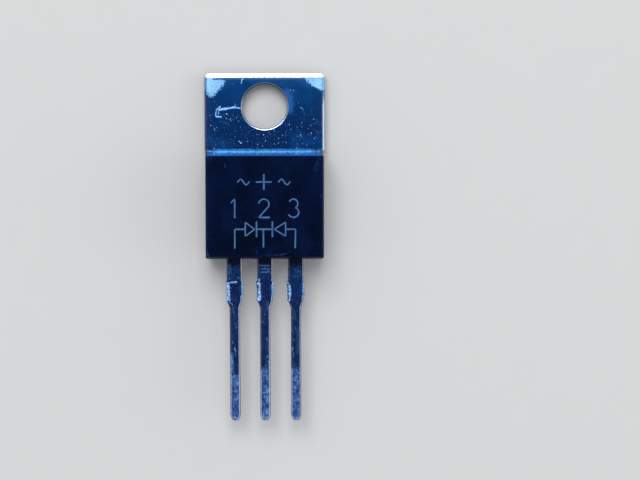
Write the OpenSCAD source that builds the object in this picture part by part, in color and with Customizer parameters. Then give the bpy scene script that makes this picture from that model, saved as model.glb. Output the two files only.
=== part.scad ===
// Dual fast recovery diode in a flat three-lead power package.
// The part lies on its back. The origin is the centre of the mounting hole on the back
// face of the tab, +Z points out of the marked front and +Y to the free end of the tab.

/* [Heat-sink tab] */
// Width of the tab
tab_w = 10.0; // [9.9:0.05:10.6]
// Thickness of the tab and of the die pad
tab_t = 1.27; // [1.1:0.01:1.4]
// Bare length of the tab, from its free end to the moulding
tab_len = 6.45; // [5.9:0.05:6.8]
// Diameter of the mounting hole
hole_d = 3.7; // [3.5:0.05:4.0]
// Bevel round the front rim of the hole
hole_bevel = 0.2; // [0.05:0.05:0.3]
// Distance from the centre of the hole to the free end of the tab
hole_to_end = 2.75; // [2.5:0.05:3.2]
// Corner radius at the free end of the tab
tab_corner_r = 0.3; // [0.1:0.05:0.8]
// Radius of the stamped roll along the sides of the front face
side_roll = 0.25; // [0.05:0.05:0.3]
// Radius of the stamped roll along the free end of the front face
end_roll = 0.3; // [0.1:0.05:0.5]

/* [Die pad] */
// Width of the pad where it shows on the back of the moulding
pad_w = 8.0; // [7.6:0.1:8.4]
// Length of the pad inside the moulding
pad_len = 6.2; // [5.9:0.1:6.6]
// Overhang of the ledge that locks each side of the pad in the moulding
ledge_w = 0.25; // [0.1:0.05:0.35]
// Height of the ledge above the back face
ledge_z = 0.55; // [0.4:0.05:0.8]
// Chamfer on the two far corners of the pad
pad_chamfer = 0.6; // [0.3:0.1:0.8]
// Width of the V groove across the pad, which keeps damp away from the chips
groove_w = 0.5; // [0.3:0.05:0.7]
// Depth of the V groove
groove_depth = 0.25; // [0.1:0.05:0.35]
// Distance from the tab end of the moulding to the middle of the groove
groove_inset = 0.8; // [0.5:0.1:1.1]

/* [Moulded body] */
// Width of the body at its parting line
body_w = 9.8; // [9.5:0.05:10.2]
// Length of the body along the leads
body_len = 8.9; // [8.4:0.1:9.4]
// Height of the front face above the back of the tab
body_h = 4.5; // [4.4:0.05:4.8]
// Draft angle of the two long sides
side_draft = 3; // [1:0.5:6]
// Draft angle of the face over the tab
tab_end_draft = 6; // [1:0.5:9]
// Draft angle of the face that the leads leave
lead_end_draft = 7; // [1:0.5:8]
// Radius round the edge of the front face
front_edge_r = 0.15; // [0.05:0.05:0.3]
// Radius of the two upright corners beside the leads
upright_r = 0.25; // [0.1:0.05:0.4]

/* [Leads] */
// Distance between the centre lines of neighbouring leads
lead_pitch = 2.54; // [2.49:0.01:2.59]
// Thickness of the leads
lead_t = 0.5; // [0.4:0.01:0.55]
// Height of the back face of the leads above the back of the tab
lead_z = 2.4; // [2.3:0.05:2.6]
// Length of the leads outside the moulding
lead_len = 13.4; // [12.7:0.1:14.2]
// Width of the leads where they leave the moulding
lead_root_w = 1.27; // [1.15:0.01:1.4]
// Width of the thin end of the leads
lead_thin_w = 0.8; // [0.65:0.01:0.9]
// Length of the wide root of the leads
root_len = 3.45; // [3.2:0.05:3.8]
// Length of the taper between root and thin end
taper_len = 0.55; // [0.4:0.05:0.9]
// Chamfer on each side of a tip
tip_chamfer = 0.2; // [0.1:0.01:0.3]
// Distance from the moulding to the cut stubs of the tie bar
stub_start = 1.85; // [1.7:0.05:1.9]
// Length of the cut stubs along the lead
stub_len = 1.15; // [1:0.05:1.2]
// How far each cut stub stands out of the side of the lead
stub_w = 0.1; // [0.05:0.01:0.2]

/* [Rise of the centre lead] */
// Angle of the ramp from the pad up to the leads
ramp_angle = 55; // [45:1:62]
// Inside radius of the two bends
bend_r = 0.3; // [0.2:0.05:0.4]
// Flat length between the pad and the first bend
ramp_start = 0.1; // [0.05:0.05:0.2]
// Width of the tongue that rises from the pad
tongue_w = 1.7; // [1.5:0.1:1.9]

/* [Bond posts] */
// Width of the post at the inner end of an outer lead
post_w = 2.35; // [2.2:0.05:2.5]
// Length of the post
post_len = 2.1; // [2:0.05:2.3]
// Distance from the post to the face that the leads leave
post_cover = 0.9; // [0.8:0.05:1]
// Space between the centre lead and each post
post_gap = 0.5; // [0.4:0.05:0.6]
// Chamfer on the corners of the post
post_chamfer = 0.25; // [0.1:0.05:0.3]
// Radius of the lock notch in the outer side of the post
notch_r = 0.35; // [0.2:0.05:0.4]

/* [Chips] */
// Side of a square chip
die_side = 2.2; // [2:0.05:2.4]
// Thickness of a chip
die_t = 0.28; // [0.22:0.01:0.35]
// Width of the lowered rim round the top of a chip
moat_w = 0.18; // [0.1:0.02:0.25]
// Depth of the lowered rim
moat_depth = 0.08; // [0.04:0.01:0.12]
// Distance from the tab end of the moulding to the middle of the chips
die_inset = 3.4; // [3.1:0.05:3.5]
// Thickness of the solder film under a chip
solder_t = 0.06; // [0.04:0.01:0.1]
// How far the solder shows round the foot of a chip
solder_rim = 0.08; // [0.04:0.01:0.12]

/* [Bond wires] */
// Diameter of a bond wire
wire_d = 0.38; // [0.3:0.01:0.4]
// Length of the flattened foot at each end
foot_len = 0.7; // [0.5:0.05:0.8]
// Width of the flattened foot
foot_w = 0.54; // [0.48:0.02:0.64]
// Thickness of the flattened foot
foot_t = 0.26; // [0.22:0.01:0.28]
// Angle at which the loop leaves its chip
wire_rise = 75; // [70:1:80]

/* [Hidden] */
$fn = 72;

LEFT = -1;
RIGHT = 1;
// Length by which a cutter or a joined piece runs past the face that it crosses
lap = 0.05;

// Stations along Y, from the tab to the tips
contact_y = hole_to_end - tab_len;
body_end_y = contact_y - body_len;
pad_end_y = contact_y - pad_len;
die_y = contact_y - die_inset;
post_end_y = body_end_y + post_cover;
post_y = post_end_y + post_len / 2;
tip_y = body_end_y - lead_len;

// Heights
lead_mid_z = lead_z + lead_t / 2;
lead_top_z = lead_z + lead_t;
tongue_z = tab_t - lead_t;
die_base_z = tab_t + solder_t;
die_top_z = die_base_z + die_t;

// Places across the part
post_in_x = tongue_w / 2 + post_gap;
post_x = post_in_x + post_w / 2;

// The ramp of the centre lead, as sharp corners at the lead's back face
ramp_rise = lead_z - tongue_z;
ramp_run = ramp_rise / tan(ramp_angle);
bend_out_r = bend_r + lead_t;
bend_out_len = bend_out_r * tan(ramp_angle / 2);
ramp_foot_y = pad_end_y - ramp_start - bend_out_len;
ramp_head_y = ramp_foot_y - ramp_run;
corner_shift = lead_t * tan(ramp_angle / 2);

// The loop of a bond wire is one arc. Its centre line meets the chip and the post
// under the heels of the two feet.
heel = foot_len / 4;
loop_start = [die_y - heel, die_top_z];
loop_end = [post_y + heel, lead_top_z];
chord = loop_end - loop_start;
chord_rise = atan2(chord[1], -chord[0]);
half_sweep = wire_rise - chord_rise;
loop_r = norm(chord) / 2 / sin(half_sweep);
loop_centre = loop_start - loop_r * [sin(wire_rise), cos(wire_rise)];
// Angle by which the arc runs on into the chip and the post before it is trimmed
run_on = wire_d / loop_r * 180 / PI;

// Colours
PLATED = [0.16, 0.27, 0.42];
LEAD = [0.22, 0.34, 0.50];
EPOXY = [0.05, 0.06, 0.12];
SOLDER = [0.55, 0.56, 0.58];
SILICON = [0.35, 0.36, 0.40];
WIRE = [0.80, 0.81, 0.82];

function unit(v) = v / norm(v);

// How far a drafted face stands back at a height above or below its widest line
function draft_back(height, angle) = height * tan(angle);

// The sliver between a corner of an outline and the arc that rounds it.
// It reaches a little past the corner, so it can be cut away or joined on.
module corner_sliver(last, corner, next, r) {
    u = unit(last - corner);
    v = unit(next - corner);
    half = acos(u * v) / 2;
    centre = corner + unit(u + v) * r / sin(half);
    touch_u = corner + u * r / tan(half);
    touch_v = corner + v * r / tan(half);
    difference() {
        polygon([
            centre,
            touch_u + unit(touch_u - centre) * lap,
            corner + unit(corner - centre) * 2 * lap,
            touch_v + unit(touch_v - centre) * lap
        ]);
        translate(centre) circle(r);
    }
}

function before(points, i) = points[(i + len(points) - 1) % len(points)];
function after(points, i) = points[(i + 1) % len(points)];
function turn_at(points, i) = cross(points[i] - before(points, i), after(points, i) - points[i]);

// An outline whose corners get the radii listed with them, 0 for a sharp one.
// Points run counter-clockwise. Inward corners are filled, outward ones cut.
module rounded_outline(points, radii) {
    count = len(points);
    rounded = [for (i = [0:count - 1]) if (radii[i] > 0) i];
    inward = [for (i = rounded) if (turn_at(points, i) < 0) i];
    outward = [for (i = rounded) if (turn_at(points, i) > 0) i];
    difference() {
        union() {
            polygon(points);
            for (i = inward) corner_sliver(before(points, i), points[i], after(points, i), radii[i]);
        }
        for (i = outward) corner_sliver(before(points, i), points[i], after(points, i), radii[i]);
    }
}

// Stands an outline drawn in X and Z up and runs it along Y
module along_y(from_y, to_y) {
    translate([0, to_y, 0]) rotate([90, 0, 0]) linear_extrude(to_y - from_y) children();
}

// Stands an outline drawn in Y and Z up and runs it along X, centred
module along_x(width) {
    translate([-width / 2, 0, 0]) rotate([90, 0, 90]) linear_extrude(width) children();
}

// Bare tab: the plate outline, with its front face rolled down at the sides and the free end
module tab_plate() {
    half = tab_w / 2;
    end_y = hole_to_end;
    intersection() {
        linear_extrude(tab_t) rounded_outline(
            [[-half, contact_y], [half, contact_y], [half, end_y], [-half, end_y]],
            [0, 0, tab_corner_r, tab_corner_r]);
        along_y(contact_y - lap, end_y + lap) rounded_outline(
            [[-half, -lap], [half, -lap], [half, tab_t], [-half, tab_t]],
            [0, 0, side_roll, side_roll]);
        along_x(tab_w + 2 * lap) rounded_outline(
            [[contact_y - lap, -lap], [end_y, -lap], [end_y, tab_t], [contact_y - lap, tab_t]],
            [0, 0, end_roll, 0]);
    }
}

module mounting_hole() {
    translate([0, 0, -lap]) cylinder(h = tab_t + 2 * lap, d = hole_d);
    translate([0, 0, tab_t - hole_bevel])
        cylinder(h = hole_bevel + lap, r1 = hole_d / 2, r2 = hole_d / 2 + hole_bevel + lap);
}

// Die pad: a plate whose front half overhangs its back half, so that the moulding holds it
module die_pad() {
    half = pad_w / 2;
    wide = half + ledge_w;
    far_y = pad_end_y;
    intersection() {
        along_y(far_y, contact_y + lap) polygon([
            [-half, 0], [half, 0], [half, ledge_z], [wide, ledge_z + ledge_w], [wide, tab_t],
            [-wide, tab_t], [-wide, ledge_z + ledge_w], [-half, ledge_z]
        ]);
        linear_extrude(tab_t) polygon([
            [-wide, contact_y + lap],
            [-wide, far_y + pad_chamfer],
            [-wide + pad_chamfer, far_y],
            [wide - pad_chamfer, far_y],
            [wide, far_y + pad_chamfer],
            [wide, contact_y + lap]
        ]);
    }
}

module damp_groove() {
    middle = contact_y - groove_inset;
    along_x(tab_w) polygon([
        [middle, tab_t - groove_depth],
        [middle + groove_w / 2, tab_t],
        [middle + groove_w / 2, tab_t + lap],
        [middle - groove_w / 2, tab_t + lap],
        [middle - groove_w / 2, tab_t]
    ]);
}

// Plan of a lead outside the moulding: root with tie-bar stubs, taper, thin end and tip.
// It starts inside the moulding by the length named.
module lead_plan(inside) {
    root = lead_root_w / 2;
    stub = root + stub_w;
    thin = lead_thin_w / 2;
    stub_top = body_end_y - stub_start;
    stub_bottom = stub_top - stub_len;
    taper_top = body_end_y - root_len;
    taper_bottom = taper_top - taper_len;
    right_side = [
        [root, body_end_y + inside],
        [root, stub_top],
        [stub, stub_top],
        [stub, stub_bottom],
        [root, stub_bottom],
        [root, taper_top],
        [thin, taper_bottom],
        [thin, tip_y + tip_chamfer],
        [thin - tip_chamfer, tip_y]
    ];
    count = len(right_side);
    left_side = [for (i = [count - 1:-1:0]) [-right_side[i][0], right_side[i][1]]];
    polygon(concat(right_side, left_side));
}

// Side view of the centre lead: along the pad, up the ramp with its two bends, and out
module cathode_side() {
    rounded_outline(
        [
            [pad_end_y + pad_chamfer, tongue_z],
            [pad_end_y + pad_chamfer, tab_t],
            [ramp_foot_y + corner_shift, tab_t],
            [ramp_head_y + corner_shift, lead_top_z],
            [tip_y - lap, lead_top_z],
            [tip_y - lap, lead_z],
            [ramp_head_y, lead_z],
            [ramp_foot_y, tongue_z]
        ],
        [0, 0, bend_r, bend_out_r, 0, 0, bend_r, bend_out_r]);
}

// Plan of the tongue, which narrows to the root of the lead before it leaves the moulding
module tongue_plan() {
    root = lead_root_w / 2;
    polygon([
        [-tongue_w / 2, pad_end_y + 2 * pad_chamfer],
        [-tongue_w / 2, ramp_head_y],
        [-root, body_end_y + post_cover / 2],
        [-root, body_end_y - lap],
        [root, body_end_y - lap],
        [root, body_end_y + post_cover / 2],
        [tongue_w / 2, ramp_head_y],
        [tongue_w / 2, pad_end_y + 2 * pad_chamfer]
    ]);
}

module cathode_lead() {
    intersection() {
        union() {
            linear_extrude(lead_top_z + lap) tongue_plan();
            linear_extrude(lead_top_z + lap) lead_plan(lap);
        }
        along_x(tongue_w + 2 * lap) cathode_side();
    }
}

// Heat-sink tab, die pad and centre lead: one stamping
module heat_sink_and_cathode_lead() {
    color(PLATED) union() {
        difference() {
            union() {
                tab_plate();
                die_pad();
            }
            mounting_hole();
            damp_groove();
        }
        cathode_lead();
    }
}

// Plan of the bond post at the inner end of an outer lead, with its lock notch
module post_plan() {
    near = post_in_x;
    far = post_in_x + post_w;
    top_y = post_end_y + post_len;
    difference() {
        polygon([
            [near + post_chamfer, post_end_y],
            [far - post_chamfer, post_end_y],
            [far, post_end_y + post_chamfer],
            [far, top_y - post_chamfer],
            [far - post_chamfer, top_y],
            [near + post_chamfer, top_y],
            [near, top_y - post_chamfer],
            [near, post_end_y + post_chamfer]
        ]);
        translate([far, post_y]) circle(notch_r);
    }
}

// Outer lead: flat, drawn for the right side and mirrored for the left
module anode_lead(side) {
    color(LEAD) mirror([side == LEFT ? 1 : 0, 0, 0]) translate([0, 0, lead_z]) union() {
        linear_extrude(lead_t) translate([lead_pitch, 0]) lead_plan(post_cover + lap);
        linear_extrude(lead_t) post_plan();
    }
}

module die_solder(side) {
    film_side = die_side + 2 * solder_rim;
    color(SOLDER) translate([side * post_x, die_y, tab_t + solder_t / 2])
        cube([film_side, film_side, solder_t], center = true);
}

// Chip: a square of silicon whose top stands up inside a lowered rim
module die(side) {
    base_t = die_t - moat_depth;
    top_side = die_side - 2 * moat_w;
    color(SILICON) translate([side * post_x, die_y, die_base_z]) union() {
        translate([-die_side / 2, -die_side / 2, 0]) cube([die_side, die_side, base_t]);
        translate([-top_side / 2, -top_side / 2, 0]) cube([top_side, top_side, die_t]);
    }
}

// Foot of a bond wire, pressed flat on the face at the height named
module wire_foot(middle_y, z) {
    half = foot_w / 2;
    shoulder_r = foot_t / 2;
    translate([0, 0, z]) along_y(middle_y - foot_len / 2, middle_y + foot_len / 2) rounded_outline(
        [[-half, 0], [half, 0], [half, foot_t], [-half, foot_t]],
        [0, 0, shoulder_r, shoulder_r]);
}

// Block that trims the end of the loop flush with the face at a point of the centre line
module below_face(point) {
    reach = 2 * wire_d;
    translate([-wire_d, point[0] - reach, point[1] - reach]) cube([2 * wire_d, 2 * reach, reach]);
}

// The arc starts over the post, at the angle where the centre line meets it, and ends over the chip
module wire_loop() {
    first = 90 - wire_rise - run_on;
    difference() {
        translate([0, loop_centre[0], loop_centre[1]]) rotate([90, 0, 90]) rotate([0, 0, first])
            rotate_extrude(angle = 2 * (half_sweep + run_on)) translate([loop_r, 0]) circle(d = wire_d);
        below_face(loop_start);
        below_face(loop_end);
    }
}

// Bond wire: a flat foot on the chip, a loop, and a flat foot on the post
module bond_wire(side) {
    color(WIRE) translate([side * post_x, 0, 0]) union() {
        wire_loop();
        wire_foot(die_y, die_top_z);
        wire_foot(post_y, lead_top_z);
    }
}

// Outer form of the moulding, widest at the parting line in the middle of the leads
module body_form() {
    half = body_w / 2;
    over = body_h - lead_mid_z;
    back_half = half - draft_back(lead_mid_z, side_draft);
    front_half = half - draft_back(over, side_draft);
    tab_slope = draft_back(body_h - tab_t, tab_end_draft);
    intersection() {
        along_y(body_end_y - lap, contact_y + lap) rounded_outline(
            [
                [-back_half, 0], [back_half, 0], [half, lead_mid_z],
                [front_half, body_h], [-front_half, body_h], [-half, lead_mid_z]
            ],
            [0, 0, 0, front_edge_r, front_edge_r, 0]);
        along_x(body_w + 2 * lap) rounded_outline(
            [
                [contact_y, 0],
                [contact_y, tab_t],
                [contact_y - tab_slope, body_h],
                [body_end_y + draft_back(over, lead_end_draft), body_h],
                [body_end_y, lead_mid_z],
                [body_end_y + draft_back(lead_mid_z, lead_end_draft), 0]
            ],
            [0, 0, front_edge_r, front_edge_r, 0, 0]);
        linear_extrude(body_h) rounded_outline(
            [[-half, body_end_y], [half, body_end_y], [half, contact_y], [-half, contact_y]],
            [upright_r, upright_r, 0, 0]);
    }
}

// Moulded body: the outer form with the exact space of everything that it is moulded round
module moulded_body() {
    color(EPOXY) difference() {
        body_form();
        heat_sink_and_cathode_lead();
        for (side = [LEFT, RIGHT]) {
            anode_lead(side);
            die_solder(side);
            die(side);
            bond_wire(side);
        }
    }
}

heat_sink_and_cathode_lead();
anode_lead(LEFT);  // anode_lead_left
anode_lead(RIGHT);  // anode_lead_right
die_solder(LEFT);  // die_solder_left
die_solder(RIGHT);  // die_solder_right
die(LEFT);  // die_left
die(RIGHT);  // die_right
bond_wire(LEFT);  // bond_wire_left
bond_wire(RIGHT);  // bond_wire_right
moulded_body();
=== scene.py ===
"""A dual fast recovery diode in a three-lead power package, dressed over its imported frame.

Lengths in the classes are millimetres in the part's own frame. The origin is the centre of the
mounting hole on the back face of the tab, +Z points out of the marked front and +Y to the free
end of the tab. Meshes are shaped in millimetres and turned to metres when they are finished.
"""

import logging
import math
from collections.abc import Iterable, Sequence
from dataclasses import dataclass, field, replace
from enum import Enum
from functools import reduce

import bmesh
import bpy
from bmesh.types import BMEdge, BMesh, BMVert
from mathutils import Euler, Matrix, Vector, noise


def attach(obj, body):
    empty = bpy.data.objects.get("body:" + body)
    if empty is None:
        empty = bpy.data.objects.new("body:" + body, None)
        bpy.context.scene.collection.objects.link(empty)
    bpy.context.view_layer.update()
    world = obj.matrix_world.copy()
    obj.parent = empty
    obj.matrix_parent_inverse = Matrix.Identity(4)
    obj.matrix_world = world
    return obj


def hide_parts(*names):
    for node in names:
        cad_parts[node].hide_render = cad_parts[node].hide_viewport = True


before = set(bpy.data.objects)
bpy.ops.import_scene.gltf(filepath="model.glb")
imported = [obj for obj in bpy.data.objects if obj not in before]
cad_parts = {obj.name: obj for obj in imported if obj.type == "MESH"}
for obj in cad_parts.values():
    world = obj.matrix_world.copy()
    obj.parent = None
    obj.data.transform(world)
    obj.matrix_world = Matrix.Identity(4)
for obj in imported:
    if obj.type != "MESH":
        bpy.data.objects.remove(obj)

log = logging.getLogger("diode")

MM = 0.001
SAME_POINT = 0.0005
NO_LENGTH = 1e-9
NO_DEPTH = 1e-6
FULL_TURN = 2 * math.pi
BODY = "root"

Point = tuple[float, float]
Colour = tuple[float, float, float, float]
Socket = bpy.types.NodeSocket
Value = float | Socket
Triple = tuple[float, float, float] | Socket
Ring = list[Vector]
Row = tuple[Vector, Vector]

X: Triple = (1.0, 0.0, 0.0)
Y: Triple = (0.0, 1.0, 0.0)
Z: Triple = (0.0, 0.0, 1.0)
AXES = (X, Y, Z)
FRONT_PLANE: Triple = (1.0, 1.0, 0.0)


def shade(red: int, green: int, blue: int) -> Colour:
    """Turns a colour as a screen shows it into the linear values that shaders take.

    Args:
        red: Red, 0 to 255.
        green: Green, 0 to 255.
        blue: Blue, 0 to 255.

    Returns:
        The linear colour with an alpha of 1.
    """
    linear = [
        c / 12.92 if c <= 0.04045 else ((c + 0.055) / 1.055) ** 2.4
        for c in (red / 255, green / 255, blue / 255)
    ]
    return (linear[0], linear[1], linear[2], 1.0)


def smooth_step(low: float, high: float, value: float) -> float:
    """Rises softly from 0 at low to 1 at high."""
    t = min(max((value - low) / (high - low), 0.0), 1.0)
    return t * t * (3 - 2 * t)


# Shader building


class Graph:
    """Adds and joins the nodes of one shader tree."""

    def __init__(self, tree: bpy.types.NodeTree) -> None:
        """Takes the tree that the nodes go into."""
        self.tree = tree

    def feed(self, socket: Socket, value: object) -> None:
        """Joins an input to a socket, or sets its value.

        Args:
            socket: The input.
            value: The socket or the plain value.
        """
        if isinstance(value, Socket):
            self.tree.links.new(value, socket)
        else:
            socket.default_value = value

    def node(self, kind: str, feeds: dict | None = None, **settings: object) -> bpy.types.Node:
        """Adds a node.

        Args:
            kind: Its type name.
            feeds: What goes into its inputs, by their names or numbers.
            **settings: Its options, by their names on the node.

        Returns:
            The node.
        """
        node = self.tree.nodes.new(kind)
        for name, value in settings.items():
            setattr(node, name, value)
        for name, value in (feeds or {}).items():
            self.feed(node.inputs[name], value)
        return node

    def math(self, operation: str, *values: Value) -> Socket:
        """The result of a Math node."""
        return self.node("ShaderNodeMath", dict(enumerate(values)), operation=operation).outputs[0]

    def vector(self, operation: str, *values: Triple, scale: Value | None = None) -> Socket:
        """The result of a Vector Math node that gives a vector.

        Args:
            operation: Its operation.
            *values: The vectors that go into it.
            scale: The factor, where the operation is SCALE.

        Returns:
            The vector.
        """
        node = self.node("ShaderNodeVectorMath", dict(enumerate(values)), operation=operation)
        if scale is not None:
            self.feed(node.inputs["Scale"], scale)
        return node.outputs[0]

    def measure(self, operation: str, *values: Triple) -> Socket:
        """The result of a Vector Math node that gives a number."""
        node = self.node("ShaderNodeVectorMath", dict(enumerate(values)), operation=operation)
        return node.outputs["Value"]

    def step(self, value: Value, low: Value, high: Value) -> Socket:
        """A soft step from 0 at low to 1 at high, where low may also be the higher number.

        Args:
            value: The number that passes the step.
            low: Where the step is 0.
            high: Where it is 1.

        Returns:
            The step.
        """
        feeds = {"Value": value, "From Min": low, "From Max": high}
        settings = {"interpolation_type": "SMOOTHSTEP", "clamp": False}
        return self.node("ShaderNodeMapRange", feeds, **settings).outputs[0]

    def blend(self, amount: Value, low: Value, high: Value) -> Socket:
        """Mixes two numbers."""
        feeds = {0: amount, 2: low, 3: high}
        return self.node("ShaderNodeMix", feeds, data_type="FLOAT").outputs[0]

    def tint(self, amount: Value, under: Colour | Socket, over: Colour | Socket) -> Socket:
        """Lays one colour over another by an amount."""
        feeds = {0: amount, 6: under, 7: over}
        return self.node("ShaderNodeMix", feeds, data_type="RGBA").outputs[2]

    def limit(self, value: Socket) -> Socket:
        """Keeps a number between 0 and 1."""
        return self.math("MAXIMUM", self.math("MINIMUM", value, 1.0), 0.0)

    def both(self, *masks: Value) -> Value:
        """The product of masks."""
        return reduce(lambda first, second: self.math("MULTIPLY", first, second), masks)

    def either(self, *masks: Value) -> Value:
        """The highest of masks."""
        return reduce(lambda first, second: self.math("MAXIMUM", first, second), masks)


class Effect:
    """A surface effect that finishes share, built once as a node group with one result."""

    title: str
    vectors: tuple[str, ...] = ("place",)
    numbers: tuple[str, ...]
    result: str = "Float"

    def tree(self) -> bpy.types.NodeTree:
        """Finds the group's tree, or builds it on its first use.

        Returns:
            The tree.
        """
        known = bpy.data.node_groups.get(self.title)
        if known is not None:
            return known
        tree = bpy.data.node_groups.new(self.title, "ShaderNodeTree")
        for kind, names in (("NodeSocketVector", self.vectors), ("NodeSocketFloat", self.numbers)):
            for name in names:
                tree.interface.new_socket(name=name, in_out="INPUT", socket_type=kind)
        kind = f"NodeSocket{self.result}"
        tree.interface.new_socket(name="result", in_out="OUTPUT", socket_type=kind)
        graph = Graph(tree)
        taken = graph.node("NodeGroupInput").outputs
        given = graph.node("NodeGroupOutput").inputs
        graph.feed(given["result"], self.build(graph, taken))
        return tree

    def build(self, graph: Graph, taken: bpy.types.NodeOutputs) -> Socket:
        """Lays the group's nodes.

        Args:
            graph: The graph of the group's tree.
            taken: The group's inputs.

        Returns:
            The group's result.
        """
        raise NotImplementedError


class Ragged(Effect):
    """Shifts a place by fine noise, so that a mask laid on it gets a torn edge."""

    title = "ragged_place"
    numbers = ("reach", "scale")
    result = "Vector"

    def build(self, graph: Graph, taken: bpy.types.NodeOutputs) -> Socket:
        """Lays the group's nodes.

        Args:
            graph: The graph of the group's tree.
            taken: The place, how far it is shifted, and how fine the noise is.

        Returns:
            The shifted place.
        """
        feeds = {"Vector": taken["place"], "Scale": taken["scale"], "Detail": 3.0}
        grain = graph.node("ShaderNodeTexNoise", feeds).outputs["Color"]
        centred = graph.vector("SUBTRACT", grain, (0.5, 0.5, 0.5))
        shift = graph.vector("SCALE", centred, scale=taken["reach"])
        return graph.vector("ADD", taken["place"], shift)


class Stroke(Effect):
    """A round-ended stroke between two points, seen from the front."""

    title = "stroke"
    vectors = ("place", "start", "end")
    numbers = ("half_width", "softness")

    def build(self, graph: Graph, taken: bpy.types.NodeOutputs) -> Socket:
        """Lays the group's nodes.

        Args:
            graph: The graph of the group's tree.
            taken: The place, the stroke's ends, half its width and the width of its soft edge.

        Returns:
            The mask.
        """
        flat = graph.vector("MULTIPLY", taken["place"], FRONT_PLANE)
        from_start = graph.vector("SUBTRACT", flat, taken["start"])
        whole = graph.vector("SUBTRACT", taken["end"], taken["start"])
        along = graph.math(
            "DIVIDE",
            graph.measure("DOT_PRODUCT", from_start, whole),
            graph.measure("DOT_PRODUCT", whole, whole),
        )
        nearest = graph.vector("SCALE", whole, scale=graph.limit(along))
        away = graph.measure("DISTANCE", from_start, nearest)
        rim = graph.math("ADD", taken["half_width"], taken["softness"])
        return graph.step(away, rim, taken["half_width"])


class Flecks(Effect):
    """Small bright pits and scuffs, scattered at random."""

    title = "flecks"
    numbers = ("scale", "radius", "share")

    def build(self, graph: Graph, taken: bpy.types.NodeOutputs) -> Socket:
        """Lays the group's nodes.

        Args:
            graph: The graph of the group's tree.
            taken: The place, how close the flecks lie, their radius, and the share that shows.

        Returns:
            The mask.
        """
        feeds = {"Vector": taken["place"], "Scale": taken["scale"]}
        cells = graph.node("ShaderNodeTexVoronoi", feeds).outputs
        chance, size, strength = (
            graph.measure("DOT_PRODUCT", cells["Color"], axis) for axis in AXES
        )
        kept = graph.math("LESS_THAN", chance, taken["share"])
        reach = graph.both(taken["radius"], graph.blend(size, 0.4, 1.0))
        dot = graph.step(cells["Distance"], reach, graph.both(reach, 0.3))
        return graph.both(kept, dot, graph.blend(strength, 0.35, 1.0))


class Mottle(Effect):
    """Cloudy change over the surface, from coarse to fine."""

    title = "mottle"
    numbers = ("scale", "contrast")

    def build(self, graph: Graph, taken: bpy.types.NodeOutputs) -> Socket:
        """Lays the group's nodes.

        Args:
            graph: The graph of the group's tree.
            taken: The place, how fine the clouds are, and how wide their soft edges.

        Returns:
            The clouds, 0 to 1.
        """
        feeds = {"Vector": taken["place"], "Scale": taken["scale"], "Detail": 5.0, "Roughness": 0.6}
        cloud = graph.node("ShaderNodeTexNoise", feeds).outputs["Fac"]
        spread = graph.both(taken["contrast"], 0.5)
        low = graph.math("SUBTRACT", 0.5, spread)
        return graph.step(cloud, low, graph.math("ADD", 0.5, spread))


class FineScratches(Effect):
    """Hairline scratches in a few directions, as a height."""

    title = "fine_scratches"
    numbers = ("scale",)
    turns_and_stretches = ((0.35, 0.06), (1.3, 0.09), (2.4, 0.05))
    line_width = 0.02

    def build(self, graph: Graph, taken: bpy.types.NodeOutputs) -> Socket:
        """Lays the group's nodes.

        Args:
            graph: The graph of the group's tree.
            taken: The place, and how close the scratches lie.

        Returns:
            The height.
        """
        lines: list[Socket] = []
        for turn, stretch in self.turns_and_stretches:
            way = {"Rotation": (0.0, 0.0, turn), "Scale": (1.0, stretch, 1.0)}
            mapping = graph.node("ShaderNodeMapping", {"Vector": taken["place"], **way})
            feeds = {"Vector": mapping.outputs[0], "Scale": taken["scale"]}
            cells = graph.node("ShaderNodeTexVoronoi", feeds, feature="DISTANCE_TO_EDGE")
            lines.append(graph.step(cells.outputs["Distance"], 0.0, self.line_width))
        return graph.both(*lines)


class Torn(Effect):
    """Breaks the edge of a soft mask up into fine grains."""

    title = "torn_mask"
    numbers = ("mask", "scale", "amount")

    def build(self, graph: Graph, taken: bpy.types.NodeOutputs) -> Socket:
        """Lays the group's nodes.

        Args:
            graph: The graph of the group's tree.
            taken: The place, the mask, how fine the grains are, and how far they tear it.

        Returns:
            The torn mask.
        """
        feeds = {"Vector": taken["place"], "Scale": taken["scale"], "Detail": 2.0}
        grain = graph.node("ShaderNodeTexNoise", feeds).outputs["Fac"]
        near = graph.step(taken["mask"], 0.02, 0.3)
        shift = graph.both(graph.math("SUBTRACT", grain, 0.5), taken["amount"], near)
        return graph.step(graph.math("ADD", taken["mask"], shift), 0.3, 0.7)


RAGGED = Ragged()
STROKE = Stroke()
FLECKS = Flecks()
MOTTLE = Mottle()
TORN = Torn()
FINE_SCRATCHES = FineScratches()


# Coats and strokes


@dataclass(frozen=True)
class Patch:
    """A stroke of another colour on a finish."""

    start: Point
    end: Point
    half_width: float
    softness: float


def chain(points: Sequence[Point], half_width: float, softness: float) -> list[Patch]:
    """A line through points, as strokes of one width with one soft edge."""
    return [Patch(a, b, half_width, softness) for a, b in zip(points, points[1:])]


def dots(places: Iterable[Point], softness: float) -> list[Patch]:
    """Short nicks at single places, as strokes that are all soft edge."""
    return [Patch((x, y), (x + 0.01, y - 0.02), 0.0, softness) for x, y in places]


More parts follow.
